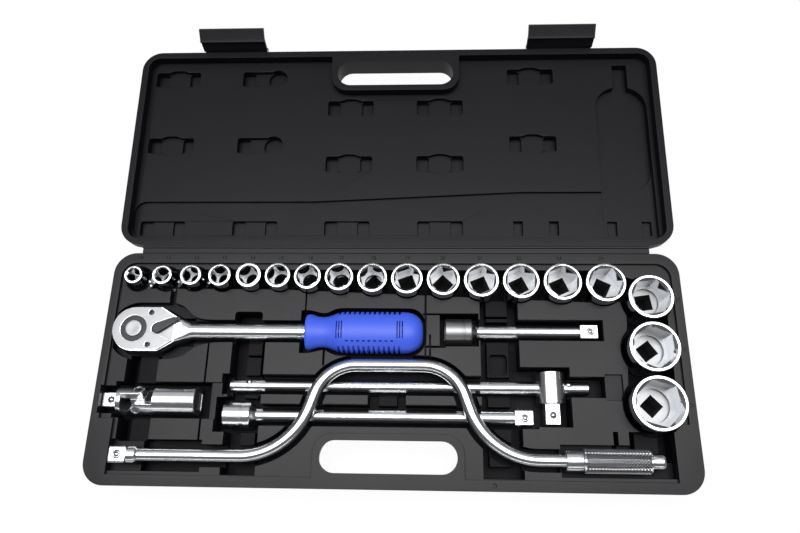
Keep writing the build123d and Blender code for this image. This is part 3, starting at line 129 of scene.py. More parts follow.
def amount(name, description, value):
    """A plain number, such as a share or a lamp's power."""
    return bpy.props.FloatProperty(name=name, description=description, default=value)


def whole(name, description, value):
    """A whole number of one or more."""
    return bpy.props.IntProperty(name=name, description=description, default=value, min=1)


def position(name, description, metres):
    """A place in the scene."""
    return bpy.props.FloatVectorProperty(
        name=name, description=description, default=metres, subtype="XYZ", unit="LENGTH")


def span(name, description, metres):
    """Width and depth of a lamp."""
    return bpy.props.FloatVectorProperty(
        name=name, description=description, default=metres, size=2, unit="LENGTH")


def colour(name, description, code):
    """A colour given as an sRGB hex code."""
    return bpy.props.FloatVectorProperty(
        name=name, description=description, default=linear(code), subtype="COLOR", min=0, max=1)


# Settings


class CaseSettings(bpy.types.PropertyGroup):
    """Sizes and colours of the moulded case."""

    edge: length("Edge rounding", "Radius along the moulding's edges", 0.35)
    lid_edge: length("Lid edge rounding", "Radius along the edges inside the lid", 0.3)
    latch_edge: length("Latch edge", "Radius along the latches' edges", 0.5)
    web: length("Web thickness", "Thickness of the hinge web", 1.2)
    web_cuts: whole("Web cuts", "Divisions across the hinge web", 15)
    rim: length("Rim height", "Height of the base's rim", 32.0)
    bead: length("Hinge bead", "How far the bead stands above the hinge web", 0.9)
    bead_half: length("Bead half width", "Half of the hinge bead's width", 1.2)
    number_height: length("Number height", "Height of the raised size numbers", 4.4)
    number_rise: length("Number rise", "How far the numbers stand above the rim", 0.3)
    number_margin: length("Number margin", "Middle of a number from the case's edge", 4.4)
    plastic: colour("Plastic", "The polyethylene in its mould finish", "0c0c10")
    # The paler plastic shows in random patches. The base shows it more towards its tops and the lid shows
    # less, as painted light and painted shade
    scuffed: colour("Scuffed plastic", "The polyethylene where tools have rubbed it", "131317")
    # Painted shade: the numbers are coloured darker than the case to stand for the shade on the raised
    # characters
    smooth: colour("Smooth plastic", "The polyethylene of the polished size numbers", "060607")
    grain: length("Grain", "Width of the mould's grain", 0.5)
    cloud: length("Cloud", "Width of the scuffed patches", 60.0)
    # Painted shade: the base grows darker and duller from the second height down to the first, standing for
    # the shade on its recess floors
    worn_from: length("Wear start", "Height below which no hand or tool has rubbed the base", 20.0)
    worn_to: length("Wear end", "Height above which the base is fully rubbed", 28.5)
    # Painted shade: the lid's inside is held at this share of the base's lit tops, as one darker, duller
    # copy of the plastic
    lid_wear: amount("Lid wear", "How far the lid's inside is rubbed", 0.42)


class SocketSettings(bpy.types.PropertyGroup):
    """Turned and broached forms that all sockets share."""

    shoulder_low: length("Shoulder start", "Height where the drive end stops", 18.0)
    shoulder_high: length("Shoulder end", "Height where the nut end starts", 20.5)
    groove_low: length("Groove start", "Height of the ring groove on the drive end", 2.8)
    groove_high: length("Groove end", "Upper edge of the ring groove", 4.0)
    groove: length("Groove depth", "Depth of the ring groove", 0.45)
    square_depth: length("Square depth", "Depth of the drive square under a small nut", 17.0)
    counterbore: length("Counterbore", "Depth of the turned floor in the largest sockets", 3.0)
    lead: length("Lead-in", "How far the lead-in cone clears the hexagon's corners", 0.35)
    lead_slope: amount("Lead-in slope", "Depth of the lead-in cone over its width", 0.7)
    mouth_share: amount("Mouth share", "Hexagon depth over the socket's height", 0.45)
    hole_share: amount("Hole share", "Radius of the round hole over the nut size", 0.42)
    square_from: whole("Square from", "Smallest size whose drive square shows in the mouth", 19)
    counterbore_from: whole("Counterbore from", "Smallest size with a turned floor", 27)


class ToolSettings(bpy.types.PropertyGroup):
    """Forms and finish of the plated tools."""

    sides: whole("Sides", "Facets round a turned piece", 72)
    edge: length("Edge break", "Chamfer along the forged edges", 0.3)
    square: length("Square", "Width of a drive square", 12.7)
    square_length: length("Square length", "Length of a drive square", 15.5)
    square_round: length("Square rounding", "Radius along a drive square's edges", 1.5)
    female: length("Female square", "Width of a broached square", 13.0)
    female_depth: length("Female depth", "Depth of a broached square", 15.0)
    ball_hole: length("Ball hole", "Radius of the hole that holds a ball", 2.7)
    ball_sink: length("Ball sink", "Radius of the countersink round a ball", 3.5)
    ball_proud: length("Ball rise", "How far a ball stands out of its face", 0.9)
    plate_edge: length("Plate edge", "Chamfer along the cover plate's edges", 0.3)
    gear_edge: length("Gear edge", "Chamfer along the drive gear's edges", 0.15)
    lever_edge: length("Lever edge", "Chamfer along the reversing lever's edges", 0.3)
    lever_round: length("Lever round", "Radius of the reversing lever's round end", 4.2)
    rib_rise: length("Rib rise", "Thickness of the rib along the reversing lever", 0.8)
    shaft: length("Shaft", "Radius of an extension's shaft", 6.0)
    satin_end: length("Satin end", "Length of the short extension's blasted end", 22.0)
    joint_end: length("Joint end", "Chamfer at the universal joint's female end", 2.0)
    shank_ring: length("Shank ring", "Radius of the ring where the shank enters the grip", 7.6)
    lever_rib: length("Lever rib", "Width of the rib along the reversing lever", 1.6)
    rib_middle: amount("Rib middle", "Where the rib's middle lies along the lever", 0.56)
    rib_share: amount("Rib share", "Length of the rib over the lever's", 0.72)
    button_stem: length("Button stem", "Radius of the release button's stem", 2.5)
    screw_socket: length("Screw socket", "Radius of the hexagon in a cover screw", 1.25)
    screw_depth: length("Screw depth", "Depth of the hexagon in a cover screw", 1.3)
    screw_thread: length("Screw thread", "Radius of a cover screw's thread", 1.4)
    chrome: colour("Chrome", "The polished plate", "e9ebee")
    hazy: colour("Hazy chrome", "The polished plate where it has been handled", "dcdee1")
    satin: colour("Satin chrome", "The blasted plate", "909193")
    blacked: colour("Black oxide", "The blacked steel", "2c2c2e")
    ball: colour("Bearing steel", "The balls and pins", "b9babb")
    bright_haze: amount("Bright haze", "Roughness of the sockets' plate where it is cloudy", 0.11)
    buffed_haze: amount("Buffed haze", "Roughness of the tools' plate where it is cloudy", 0.26)
    smudge: length("Smudge", "Width of the hazy patches on the plate", 9.0)
    frost: length("Frost", "Width of the pits in blasted plate", 0.35)


class GripSettings(bpy.types.PropertyGroup):
    """The ratchet's soft grip."""

    rubber: colour("Rubber", "The soft grip", "314cca")
    rubbed: colour("Rubbed rubber", "The soft grip on top of its stipple", "3e5fd8")
    stipple: length("Stipple", "Width of the moulded stipple", 0.5)
    notches: whole("Notches", "Finger notches along each side", 13)
    notch_from: length("First notch", "Distance of the first notch from the flange", 30.0)
    notch_pitch: length("Notch pitch", "Distance from notch to notch", 4.1)
    notch_width: length("Notch width", "Width of a notch", 1.8)
    notch_reach: length("Notch reach", "How far a notch comes in from the side", 4.2)
    notch_depth: length("Notch depth", "Depth of a notch", 1.8)
    mark_depth: length("Mark depth", "Depth of the fine grooves round the panel", 1.2)
    panel_from: length("Panel start", "Distance of the blank panel from the flange", 34.5)
    groove_pitch: length("Groove pitch", "Distance between the cross grooves", 2.1)
    groove_width: length("Groove width", "Width of the grooves and dashes", 0.9)
    dashes: whole("Dashes", "Dashes beside the panel", 9)
    dash_length: length("Dash length", "Length of a dash beside the panel", 2.4)
    panel_length: length("Panel length", "Length of the blank panel on top", 41.0)
    panel_width: length("Panel width", "Width of the blank panel on top", 11.0)
    crosses: whole("Cross grooves", "Cross grooves at each end of the panel", 3)
    cross_share: amount("Cross share", "Length of a cross groove over the panel's width", 1.3)
    dash_share: amount("Dash share", "Distance of the dashes from the middle over the panel's width", 0.85)


class BraceSettings(bpy.types.PropertyGroup):
    """The speed brace's bends and its knurl."""

    tube: length("Tube radius", "Radius of the bent rod", 5.25)
    neck: length("Neck radius", "Radius of the ring behind the square", 7.2)
    foot: length("Foot", "Half the distance between the outer bends", 76.5)
    top: length("Top", "Half the distance between the inner bends", 51.6)
    foot_round: length("Outer bend", "Radius of the outer bends", 55.0)
    top_round: length("Inner bend", "Radius of the inner bends", 35.0)
    square: length("Square", "Length of the drive square", 14.0)
    bore: length("Sleeve bore", "Radius of the sleeve's bore", 5.6)
    sleeve_edge: length("Sleeve edge", "Chamfer at the sleeve's ends", 0.6)
    knurl: length("Knurl depth", "How far the diamonds stand up", 0.5)
    knurl_groove: length("Knurl groove", "Half the width of the grooves between the diamonds", 0.38)
    knurl_around: whole("Knurl around", "Diamonds round the sleeve", 22)
    knurl_along: whole("Knurl along", "Diamonds along the sleeve", 21)


class StageSettings(bpy.types.PropertyGroup):
    """Camera, light and floor."""

    camera_place: position("Camera place", "Where the camera stands", (0.02965, -0.09315, 0.54876))
    camera_turn: bpy.props.FloatVectorProperty(
        name="Camera turn", description="How the camera is turned",
        default=(radians(18.861), radians(2.213), radians(0.893)), subtype="EULER", unit="ROTATION")
    lens: amount("Lens", "Focal length in millimetres", 29.215)
    sensor: amount("Sensor", "Width of the sensor in millimetres", 36.0)
    near: length("Near", "Distance at which the camera starts to see", 10.0)
    floor: colour("Floor", "The paper sweep", "f7f7f7")
    floor_size: length("Floor size", "Width of the paper sweep", 12000)
    white: amount("White", "How much of the floor's own white the camera sees", 0.96)
    key: amount("Key light", "Power of the large rear soft box", 8.0)
    key_place: position("Key place", "Where the soft box hangs", (0.0, 1.7, 1.35))
    key_size: span("Key size", "Width and depth of the soft box", (3.0, 2.0))
    top: amount("Top light", "Power of the soft box overhead", 27.0)
    top_place: position("Top place", "Where the overhead soft box hangs", (0.0, 0.14, 1.3))
    top_size: span("Top size", "Width and depth of the overhead soft box", (1.9, 0.74))
    strip: amount("Front strip", "Power of the low front strip", 1.6)
    strip_place: position("Strip place", "Where the front strip stands", (0.0, -1.1, 0.5))
    strip_size: span("Strip size", "Width and height of the front strip", (1.6, 0.12))
    strip_tilt: bpy.props.FloatProperty(
        name="Strip tilt", description="How far the front strip leans back",
        default=radians(62), unit="ROTATION")
    room: amount("Room", "Strength of the room's own light", 0.11)


# Modelling helpers


def select_only(*objects):
    """Select these objects alone and make the first one active."""
    bpy.ops.object.select_all(action="DESELECT")
    for piece in objects:
        piece.select_set(True)
    bpy.context.view_layer.objects.active = objects[0]


def named(name):
    """Name the piece that was just added."""
    piece = bpy.context.active_object
    piece.name = name
    piece.data.name = name
    return piece


def added(name, operator, **options):
    """Add a piece that is selected alone, and name it."""
    bpy.ops.object.select_all(action="DESELECT")
    operator(**options)
    return named(name)


def settle():
    """Put the active piece's place into its mesh."""
    bpy.ops.object.transform_apply(location=True, rotation=True, scale=True)
    return bpy.context.active_object


def mode(kind):
    """Go into the active piece's mesh or leave it."""
    bpy.ops.object.mode_set(mode=kind)


def editing(piece):
    """Go into a piece's mesh with all of it selected."""
    select_only(piece)
    mode("EDIT")
    bpy.ops.mesh.select_all(action="SELECT")


def done():
    """Turn the normals outward and leave the mesh."""
    bpy.ops.mesh.select_all(action="SELECT")
    bpy.ops.mesh.normals_make_consistent(inside=False)
    mode("OBJECT")


def push(offset):
    """Extrude what is selected by an offset."""
    bpy.ops.mesh.extrude_region_move(TRANSFORM_OT_translate={"value": offset})


def middle(node):
    """Centre of a CAD node."""
    low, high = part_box(node)
    return (low + high) / 2


def left_end(node):
    """Centre of a CAD node's left end."""
    return Vector((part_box(node)[0].x, *middle(node).yz))


def reach(node, low, high):
    """How far a CAD node's points lie from its upright axis between two heights above its foot."""
    foot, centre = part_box(node)[0], middle(node)
    points = [point.co for point in frame["nodes"][node].data.vertices]
    return max(hypot(p.x - centre.x, p.y - centre.y) for p in points if low <= p.z - foot.z <= high)


def turned(name, axis, origin, stations, sides=None):
    """Turn a solid: a disc, then one extrude and one resize for each (distance, radius) in millimetres."""
    sides = sides or bpy.context.scene.socket_tools.sides
    direction = AXES[axis]
    distance, radius = stations[0]
    added(name, bpy.ops.mesh.primitive_circle_add, vertices=sides, radius=radius * MM, fill_type="NGON",
          location=origin + direction * distance * MM, rotation=DISC_TURN[axis])
    mode("EDIT")
    for far, wide in stations[1:]:
        push(direction * (far - distance) * MM)
        share = wide / radius
        bpy.ops.transform.resize(
            value=[1 if letter == axis else share for letter in "XYZ"],
            center_override=origin + direction * far * MM)
        distance, radius = far, wide
    done()
    return settle()


def profile(points, radius, start=0.0):
    """Stations for turning, from an outline that gives how far each radius is below the full one."""
    return [(start + far, radius - less) for far, less in points]


def block(name, centre, size, turn=0.0):
    """A block of a given size, to be cut with or shaped further."""
    added(name, bpy.ops.mesh.primitive_cube_add, size=1, location=centre, rotation=(0, 0, turn), scale=size)
    return settle()


def prism(sides, low, high, radius, top_radius, turn=0.0):
    """An upright cutter with flat or round sides between two points."""
    added("cutter", bpy.ops.mesh.primitive_cone_add, vertices=sides, radius1=radius, radius2=top_radius,
          depth=high.z - low.z, location=(low + high) / 2, rotation=(0, 0, turn))
    return settle()


def modify(piece, kind, **settings):
    """Add a modifier with these settings and apply it."""
    select_only(piece)
    modifier = piece.modifiers.new(kind.title(), kind)
    for key, value in settings.items():
        setattr(modifier, key, value)
    bpy.ops.object.modifier_apply(modifier=modifier.name)
    return piece


def soften(piece, width, segments=2, angle=35):
    """Round every edge that turns by more than an angle."""
    return modify(piece, "BEVEL", width=width, segments=segments, limit_method="ANGLE",
                  angle_limit=radians(angle))


def cut(piece, *tools):
    """Cut the tools out of a piece and throw them away."""
    for tool in tools:
        modify(piece, "BOOLEAN", operation="DIFFERENCE", solver="EXACT", object=tool)
        bpy.data.objects.remove(tool)
    return piece


def joined(name, *pieces):
    """Join pieces into the first one."""
    select_only(*pieces)
    bpy.ops.object.join()
    return named(name)


def copied(piece, offset):
    """A copy with its own mesh, moved by an offset."""
    select_only(piece)
    bpy.ops.object.duplicate_move(TRANSFORM_OT_translate={"value": offset})
    return settle()


def cad_copy(name, node):
    """A merged copy of a CAD node, to be softened."""
    piece = bpy.data.objects.new(name, frame["nodes"][node].data.copy())
    bpy.context.scene.collection.objects.link(piece)
    select_only(piece)
    named(name)
    bpy.ops.mesh.customdata_custom_splitnormals_clear()
    editing(piece)
    bpy.ops.mesh.remove_doubles(threshold=MERGE)
    mode("OBJECT")
    piece.data.materials.clear()
    return piece


def paint(piece, index, chosen):
    """Give a material's index to the faces for which chosen(face) is true."""
    for face in piece.data.polygons:
        if chosen(face):
            face.material_index = index


def finished(piece, materials, body, slot, *nodes, smooth=35):
    """Give a piece its finish and seat it on its CAD body."""
    select_only(piece)
    indices = [face.material_index for face in piece.data.polygons]
    piece.data.materials.clear()
    for material in materials:
        piece.data.materials.append(material)
    piece.data.polygons.foreach_set("material_index", indices)
    if smooth:
        bpy.ops.object.shade_smooth_by_angle(angle=radians(smooth))
        modify(piece, "WEIGHTED_NORMAL", keep_sharp=True)
    if body:
        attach(piece, body)
    if nodes:
        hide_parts(*nodes)
    return piece


def pick(piece, kind, chosen):
    """Select a piece's points, edges or faces in edit mode by a test on each."""
    if bpy.context.mode != "OBJECT":
        mode("OBJECT")
    select_only(piece)
    mode("EDIT")
    bpy.ops.mesh.select_mode(type=kind)
    bpy.ops.mesh.select_all(action="DESELECT")
    mode("OBJECT")
    parts = {"VERT": piece.data.vertices, "EDGE": piece.data.edges, "FACE": piece.data.polygons}[kind]
    for part in parts:
        part.select = chosen(part)
    mode("EDIT")


def is_brow(first, second):
    """Whether two normals are those of a level top and of a wall below it."""
    return max(first.z, second.z) > LEVEL and min(first.z, second.z) < WALL


def is_sharp(first, second):
    """Whether two faces meet at a sharp edge."""
    return first.angle(second) > SHARP


def rounded(piece, width, chosen=is_sharp):
    """Bevel the outward edges that pass a test on the normals of their two faces."""
    sides = {}
    for face in piece.data.polygons:
        for key in face.edge_keys:
            sides.setdefault(key, []).append((face.area, face.center.copy(), face.normal.copy()))
    outward = set()
    for key, pair in sides.items():
        if len(pair) == 2:
            (_, centre, normal), (_, _, other) = sorted(pair, key=lambda side: side[0])
            start = piece.data.vertices[key[0]].co
            if (centre - start).dot(other) < 0 and chosen(normal, other):
                outward.add(key)
    pick(piece, "EDGE", lambda edge: edge.key in outward)
    bpy.ops.mesh.bevel(offset=width, segments=2, affect="EDGES", clamp_overlap=False)
    done()
    return piece


def square_end(start, end, ball):
    """A drive square between two points along X, rounded and with a sunk hole under its ball."""
    settings = bpy.context.scene.socket_tools
    size = ((end - start).length, settings.square, settings.square)
    piece = soften(block("square", (start + end) / 2, size), settings.square_round, 3)
    face = Vector((*middle(ball).xy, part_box(ball)[1].z - settings.ball_proud))
    up = AXES["Z"]
    hole = settings.ball_hole
    drill = prism(BALL_SIDES, face - up * 3 * hole, face + up * hole, hole, hole)
    flare = settings.ball_sink - hole
    sink = prism(BALL_SIDES, face - up * flare, face + up * flare, hole, settings.ball_sink + flare)
    return cut(piece, drill, sink)


# Materials


def add(tree, kind, inputs=None, **settings):
    """Add a shader node with its settings, and with values or links for its inputs."""
    made = tree.nodes.new(kind)
    for key, value in settings.items():
        setattr(made, key, value)
    for key, value in (inputs or {}).items():
        if isinstance(value, bpy.types.NodeSocket):
            tree.links.new(value, made.inputs[key])
        else:
            made.inputs[key].default_value = value
    return made


def new_material(name):
    """An empty node material and its tree."""
    material = bpy.data.materials.get(name) or bpy.data.materials.new(name)
    material.use_nodes = True
    material.node_tree.nodes.clear()
    return material, material.node_tree


def covered(material, shader):
    """Put a shader on a material's surface."""
    add(material.node_tree, "ShaderNodeOutputMaterial", {"Surface": shader.outputs[0]})
    return material


def noise(tree, width, detail=2.0):
    """Soft noise in a piece's own coordinates, with patches of a given width."""
    place = add(tree, "ShaderNodeTexCoord").outputs["Object"]
    made = add(tree, "ShaderNodeTexNoise", {"Vector": place, "Scale": 1 / width, "Detail": detail})
    return made.outputs["Fac"]


def ranged(tree, value, low, high):
    """A value from 0 to 1 spread between two others."""
    return add(tree, "ShaderNodeMapRange", {"Value": value, "To Min": low, "To Max": high}).outputs[0]


def mixed(tree, share, first, second):
    """Two colours mixed by a share."""
    mix = add(tree, "ShaderNodeMix", {"Factor": share, 6: (*first, 1), 7: (*second, 1)}, data_type="RGBA")
    return mix.outputs[2]


def bumped(tree, height, strength, depth):
    """A normal that follows small bumps of a given depth."""
    made = add(tree, "ShaderNodeBump", {"Height": height, "Strength": strength, "Distance": depth})
    return made.outputs[0]


def skin(material, **inputs):
    """Cover a material with one shader, its inputs named with underscores for spaces."""
    inputs = {key.replace("_", " "): value for key, value in inputs.items()}
    return covered(material, add(material.node_tree, "ShaderNodeBsdfPrincipled", inputs))


def polyethylene(lid=False):
    """Blow-moulded polyethylene: near black with a fine grain and random paler, shinier patches. On the base
    the patches and the shine grow with height, as painted light on the tops and painted shade on the recess
    floors. The lid keeps one lower share of them as painted shade.
    """
    settings = bpy.context.scene.socket_case
    material, tree = new_material("polyethylene_lid_painted_shade" if lid else "polyethylene_base_painted_light")
    lighting = settings.lid_wear
    # Painted shade: the base grows darker and duller from its tops down towards its recess floors by height,
    # and the lid stays at one darker share
    if not lid:
        place = add(tree, "ShaderNodeTexCoord").outputs["Object"]
        height = add(tree, "ShaderNodeSeparateXYZ", {"Vector": place}).outputs["Z"]
        lighting = add(tree, "ShaderNodeMapRange", {
                   "Value": height, "From Min": settings.worn_from, "From Max": settings.worn_to}).outputs[0]
    cloud = noise(tree, settings.cloud, 4.0)
    patch = add(tree, "ShaderNodeMath", {0: cloud, 1: lighting}, operation="MULTIPLY").outputs[0]
    # The real grain is about 0.1 mm and is drawn coarser so that it shows
    return skin(material, Base_Color=mixed(tree, patch, settings.plastic, settings.scuffed),
                Roughness=ranged(tree, cloud, 0.38, 0.5), IOR=1.53,
                Specular_IOR_Level=ranged(tree, lighting, 0.06, 0.25),
                Normal=bumped(tree, noise(tree, settings.grain), 0.25, 0.1 * MM))


def plain(name, shade, patch, detail, gloss, **inputs):
    """A material of one colour whose gloss varies from patch to patch."""
    material, tree = new_material(name)
    rough = ranged(tree, noise(tree, patch, detail), *gloss)
    return skin(material, Base_Color=(*shade, 1), Roughness=rough, **inputs)


def smooth_polyethylene():
    """Polyethylene of the raised size numbers: without the grain, with a crisper sheen, and darker than the
    case as painted shade on the raised characters.
    """
    settings = bpy.context.scene.socket_case
    return plain("polyethylene_numbers_painted_shade", settings.smooth, settings.cloud, 4.0, (0.2, 0.3), IOR=1.53,
                 Specular_IOR_Level=0.1)


def chrome(bright=False):
    """Chrome plate on steel: a clear mirror on the sockets, a softer one with smudges on the tools."""
    settings = bpy.context.scene.socket_tools
    material, tree = new_material("chrome_plate_bright" if bright else "chrome_plate_buffed")
    cloud = noise(tree, settings.smudge, 3.0)
    haze = settings.bright_haze if bright else settings.buffed_haze
    return skin(material, Base_Color=mixed(tree, cloud, settings.chrome, settings.hazy), Metallic=1.0,
                Roughness=ranged(tree, cloud, 0.7 * haze, haze))


def satin_chrome():
    """Chrome plate on blasted steel: a soft, even grey with a fine frosted grain."""
    settings = bpy.context.scene.socket_tools
    material, tree = new_material("chrome_plate_satin")
    frost = noise(tree, settings.frost)
    # Blasting grit leaves pits of about 0.1 mm, drawn coarser so that they show
    return skin(material, Base_Color=(*settings.satin, 1), Metallic=1.0,
                Roughness=ranged(tree, frost, 0.36, 0.48), Normal=bumped(tree, frost, 0.2, 0.06 * MM))


def rubber():
    """Thermoplastic rubber, moulded matt: full colour, soft sheen and a very fine stipple."""
    settings = bpy.context.scene.socket_grip
    material, tree = new_material("thermoplastic_rubber_moulded")
    stipple = noise(tree, settings.stipple)
    return skin(material, Base_Color=mixed(tree, stipple, settings.rubber, settings.rubbed),
                Roughness=ranged(tree, stipple, 0.4, 0.55), Normal=bumped(tree, stipple, 0.2, 0.06 * MM))


def black_oxide():
    """Steel blacked in a hot salt bath: dark and slightly oily, with a dull metal sheen."""
    settings = bpy.context.scene.socket_tools
    return plain("black_oxide_steel", settings.blacked, settings.smudge, 3.0, (0.28, 0.45), Metallic=0.7)


def bearing_steel():
    """Ground bearing steel of the balls and pins: bright, a little greyer than the plate."""
    settings = bpy.context.scene.socket_tools
    return plain("bearing_steel_ground", settings.ball, settings.frost, 2.0, (0.12, 0.22), Metallic=1.0)


# Pieces


class SOCKETSET_OT_case(bpy.types.Operator):
    """Round the edges of the moulded base, lid and latches"""

    bl_idname = "socketset.case"
    bl_label = "Case mouldings"

    def execute(self, context):
        settings = context.scene.socket_case
        mouldings = (
            ("case_base", "base", settings.edge), ("case_lid", "lid", settings.lid_edge),
            ("latch_left", "left_latch", settings.latch_edge),
            ("latch_right", "right_latch", settings.latch_edge),
        )
        for node, body, width in mouldings:
            piece = rounded(cad_copy(f"{node}_moulding", node), width, is_brow)
            # The lid takes the darker copy of the plastic as painted shade
            finished(piece, [polyethylene(node == "case_lid")], body, "case_plastic", node)
        return {"FINISHED"}


class SOCKETSET_OT_hinge(bpy.types.Operator):
    """One soft web from base to lid with a bead along its bend"""

    bl_idname = "socketset.hinge"
    bl_label = "Hinge web"

    def execute(self, context):
        settings = context.scene.socket_case
        low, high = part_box("hinge_leaf_base")
        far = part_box("hinge_leaf_lid")[1]
        centre = Vector((0, (low.y + far.y) / 2, (low.z + high.z) / 2))
        web = block("hinge_web", centre, (high.x - low.x, far.y - low.y, settings.web))
        pick(web, "EDGE", lambda edge: self.runs_across(web, edge))
        bpy.ops.mesh.subdivide(number_cuts=settings.web_cuts)
        bend = high.y
        half = settings.bead_half
        pick(web, "VERT", lambda point: point.co.z > centre.z and abs(point.co.y - bend) < half)
        bpy.ops.transform.translate(value=(0, 0, settings.bead))
        done()
        soften(web, settings.web / 6, angle=30)
        finished(web, [polyethylene()], None, "case_plastic", "hinge_leaf_base", "hinge_leaf_lid")
        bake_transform(web)
        return {"FINISHED"}

    @staticmethod
    def runs_across(web, edge):
        start, end = (web.data.vertices[index].co for index in edge.vertices)
        return abs(start.y - end.y) > MM


class SOCKETSET_OT_numbers(bpy.types.Operator):
    """Raised nut sizes on the rim beside each socket"""

    bl_idname = "socketset.numbers"
    bl_label = "Size numbers"

    def execute(self, context):
        settings = context.scene.socket_case
        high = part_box("case_base")[1]
        numbers = []
        for size in SOCKETS:
            place = middle(f"socket_{size}")
            place.z = settings.rim
            if size in SIDE_SOCKETS:
                place.x = high.x - settings.number_margin
            else:
                place.y = high.y - settings.number_margin
            numbers.append(self.number(str(size), place, settings))
        sizes = joined("size_numbers", *numbers)
        # The numbers take a darker plastic as painted shade
        finished(sizes, [smooth_polyethylene()], "base", "case_plastic", smooth=0)
        return {"FINISHED"}

    @staticmethod
    def number(words, place, settings):
        text = added("number", bpy.ops.object.text_add, location=place)
        text.data.body = words
        text.data.align_x = text.data.align_y = "CENTER"
        text.data.size = settings.number_height
        text.data.extrude = settings.number_rise
        text.data.resolution_u = 3
        bpy.ops.object.convert(target="MESH")
        return settle()


class SOCKETSET_OT_sockets(bpy.types.Operator):
    """Turned sockets with a broached hexagon, a lead-in and a drive square"""

    bl_idname = "socketset.sockets"
    bl_label = "Sockets"

    def execute(self, context):
        finish = [chrome(bright=True), satin_chrome()]
        for size, turn in SOCKETS.items():
            node = f"socket_{size}"
            piece = self.socket(node, size, radians(turn), context.scene.socket_sockets)
            finished(piece, finish, f"{node}_body", "chrome", node)
        return {"FINISHED"}

    @staticmethod
    def socket(node, size, turn, settings):
        low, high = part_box(node)
        foot = Vector((*middle(node).xy, low.z))
        tall = high.z - low.z
        drive = reach(node, 0.5 * MM, settings.shoulder_low) / MM
        nut = reach(node, settings.shoulder_high, tall) / MM
        groove, start, end = settings.groove / MM, settings.groove_low / MM, settings.groove_high / MM
        stations = profile(SOCKET_FOOT, drive)
        stations += profile([(start, 0), (start + groove, groove), (end - groove, groove), (end, 0)], drive)
        shoulder = settings.shoulder_high - settings.shoulder_low
        for step in range(SHOULDER_STEPS + 1):
            share = step / SHOULDER_STEPS
            smooth = share * share * (3 - 2 * share)
            far = (settings.shoulder_low + share * shoulder) / MM
            stations.append((far, drive + smooth * (nut - drive)))
        stations += profile(SOCKET_RIM, nut, tall / MM)
        piece = turned(f"{node}_body_shell", "Z", foot, stations)
        up = AXES["Z"]
        width = size * MM
        corner = width / 2 / cos(pi / 6)
        hole = settings.hole_share * width
        top = foot + up * (tall + MM)
        mouth = foot + up * tall * (1 - settings.mouth_share)
        cone_low = foot + up * (tall - (corner + settings.lead - width / 2) * settings.lead_slope)
        spread = corner + settings.lead + MM / settings.lead_slope
        plated = bpy.context.scene.socket_tools
        tools = [
            prism(6, mouth, top, corner, corner, turn - pi / 6),
            prism(plated.sides, cone_low, top, width / 2, spread),
        ]
        deep = foot + up * settings.square_depth
        below = foot - up * MM
        above = mouth + up * MM
        end = above
        if size < settings.square_from:
            tools.append(prism(HOLE_SIDES, deep - up * MM, above, hole, hole))
            end = deep
        if size >= settings.counterbore_from:
            tools.append(prism(FLOOR_SIDES, mouth - up * settings.counterbore, above, hole, hole))
        square = (plated.female, plated.female, end.z - below.z)
        tools.append(block("cutter", (below + end) / 2, square, turn))
        cut(piece, *tools)

        def inside(face):
            """Whether a face is in the hole below the hexagon, where the plate is dull."""
            out = face.center - foot
            out.z = 0
            looks_in = face.normal.dot(out.normalized()) < -0.2
            return face.center.z < mouth.z + 0.3 * MM and (looks_in or face.normal.z > 0.97)

        paint(piece, 1, inside)
        return piece


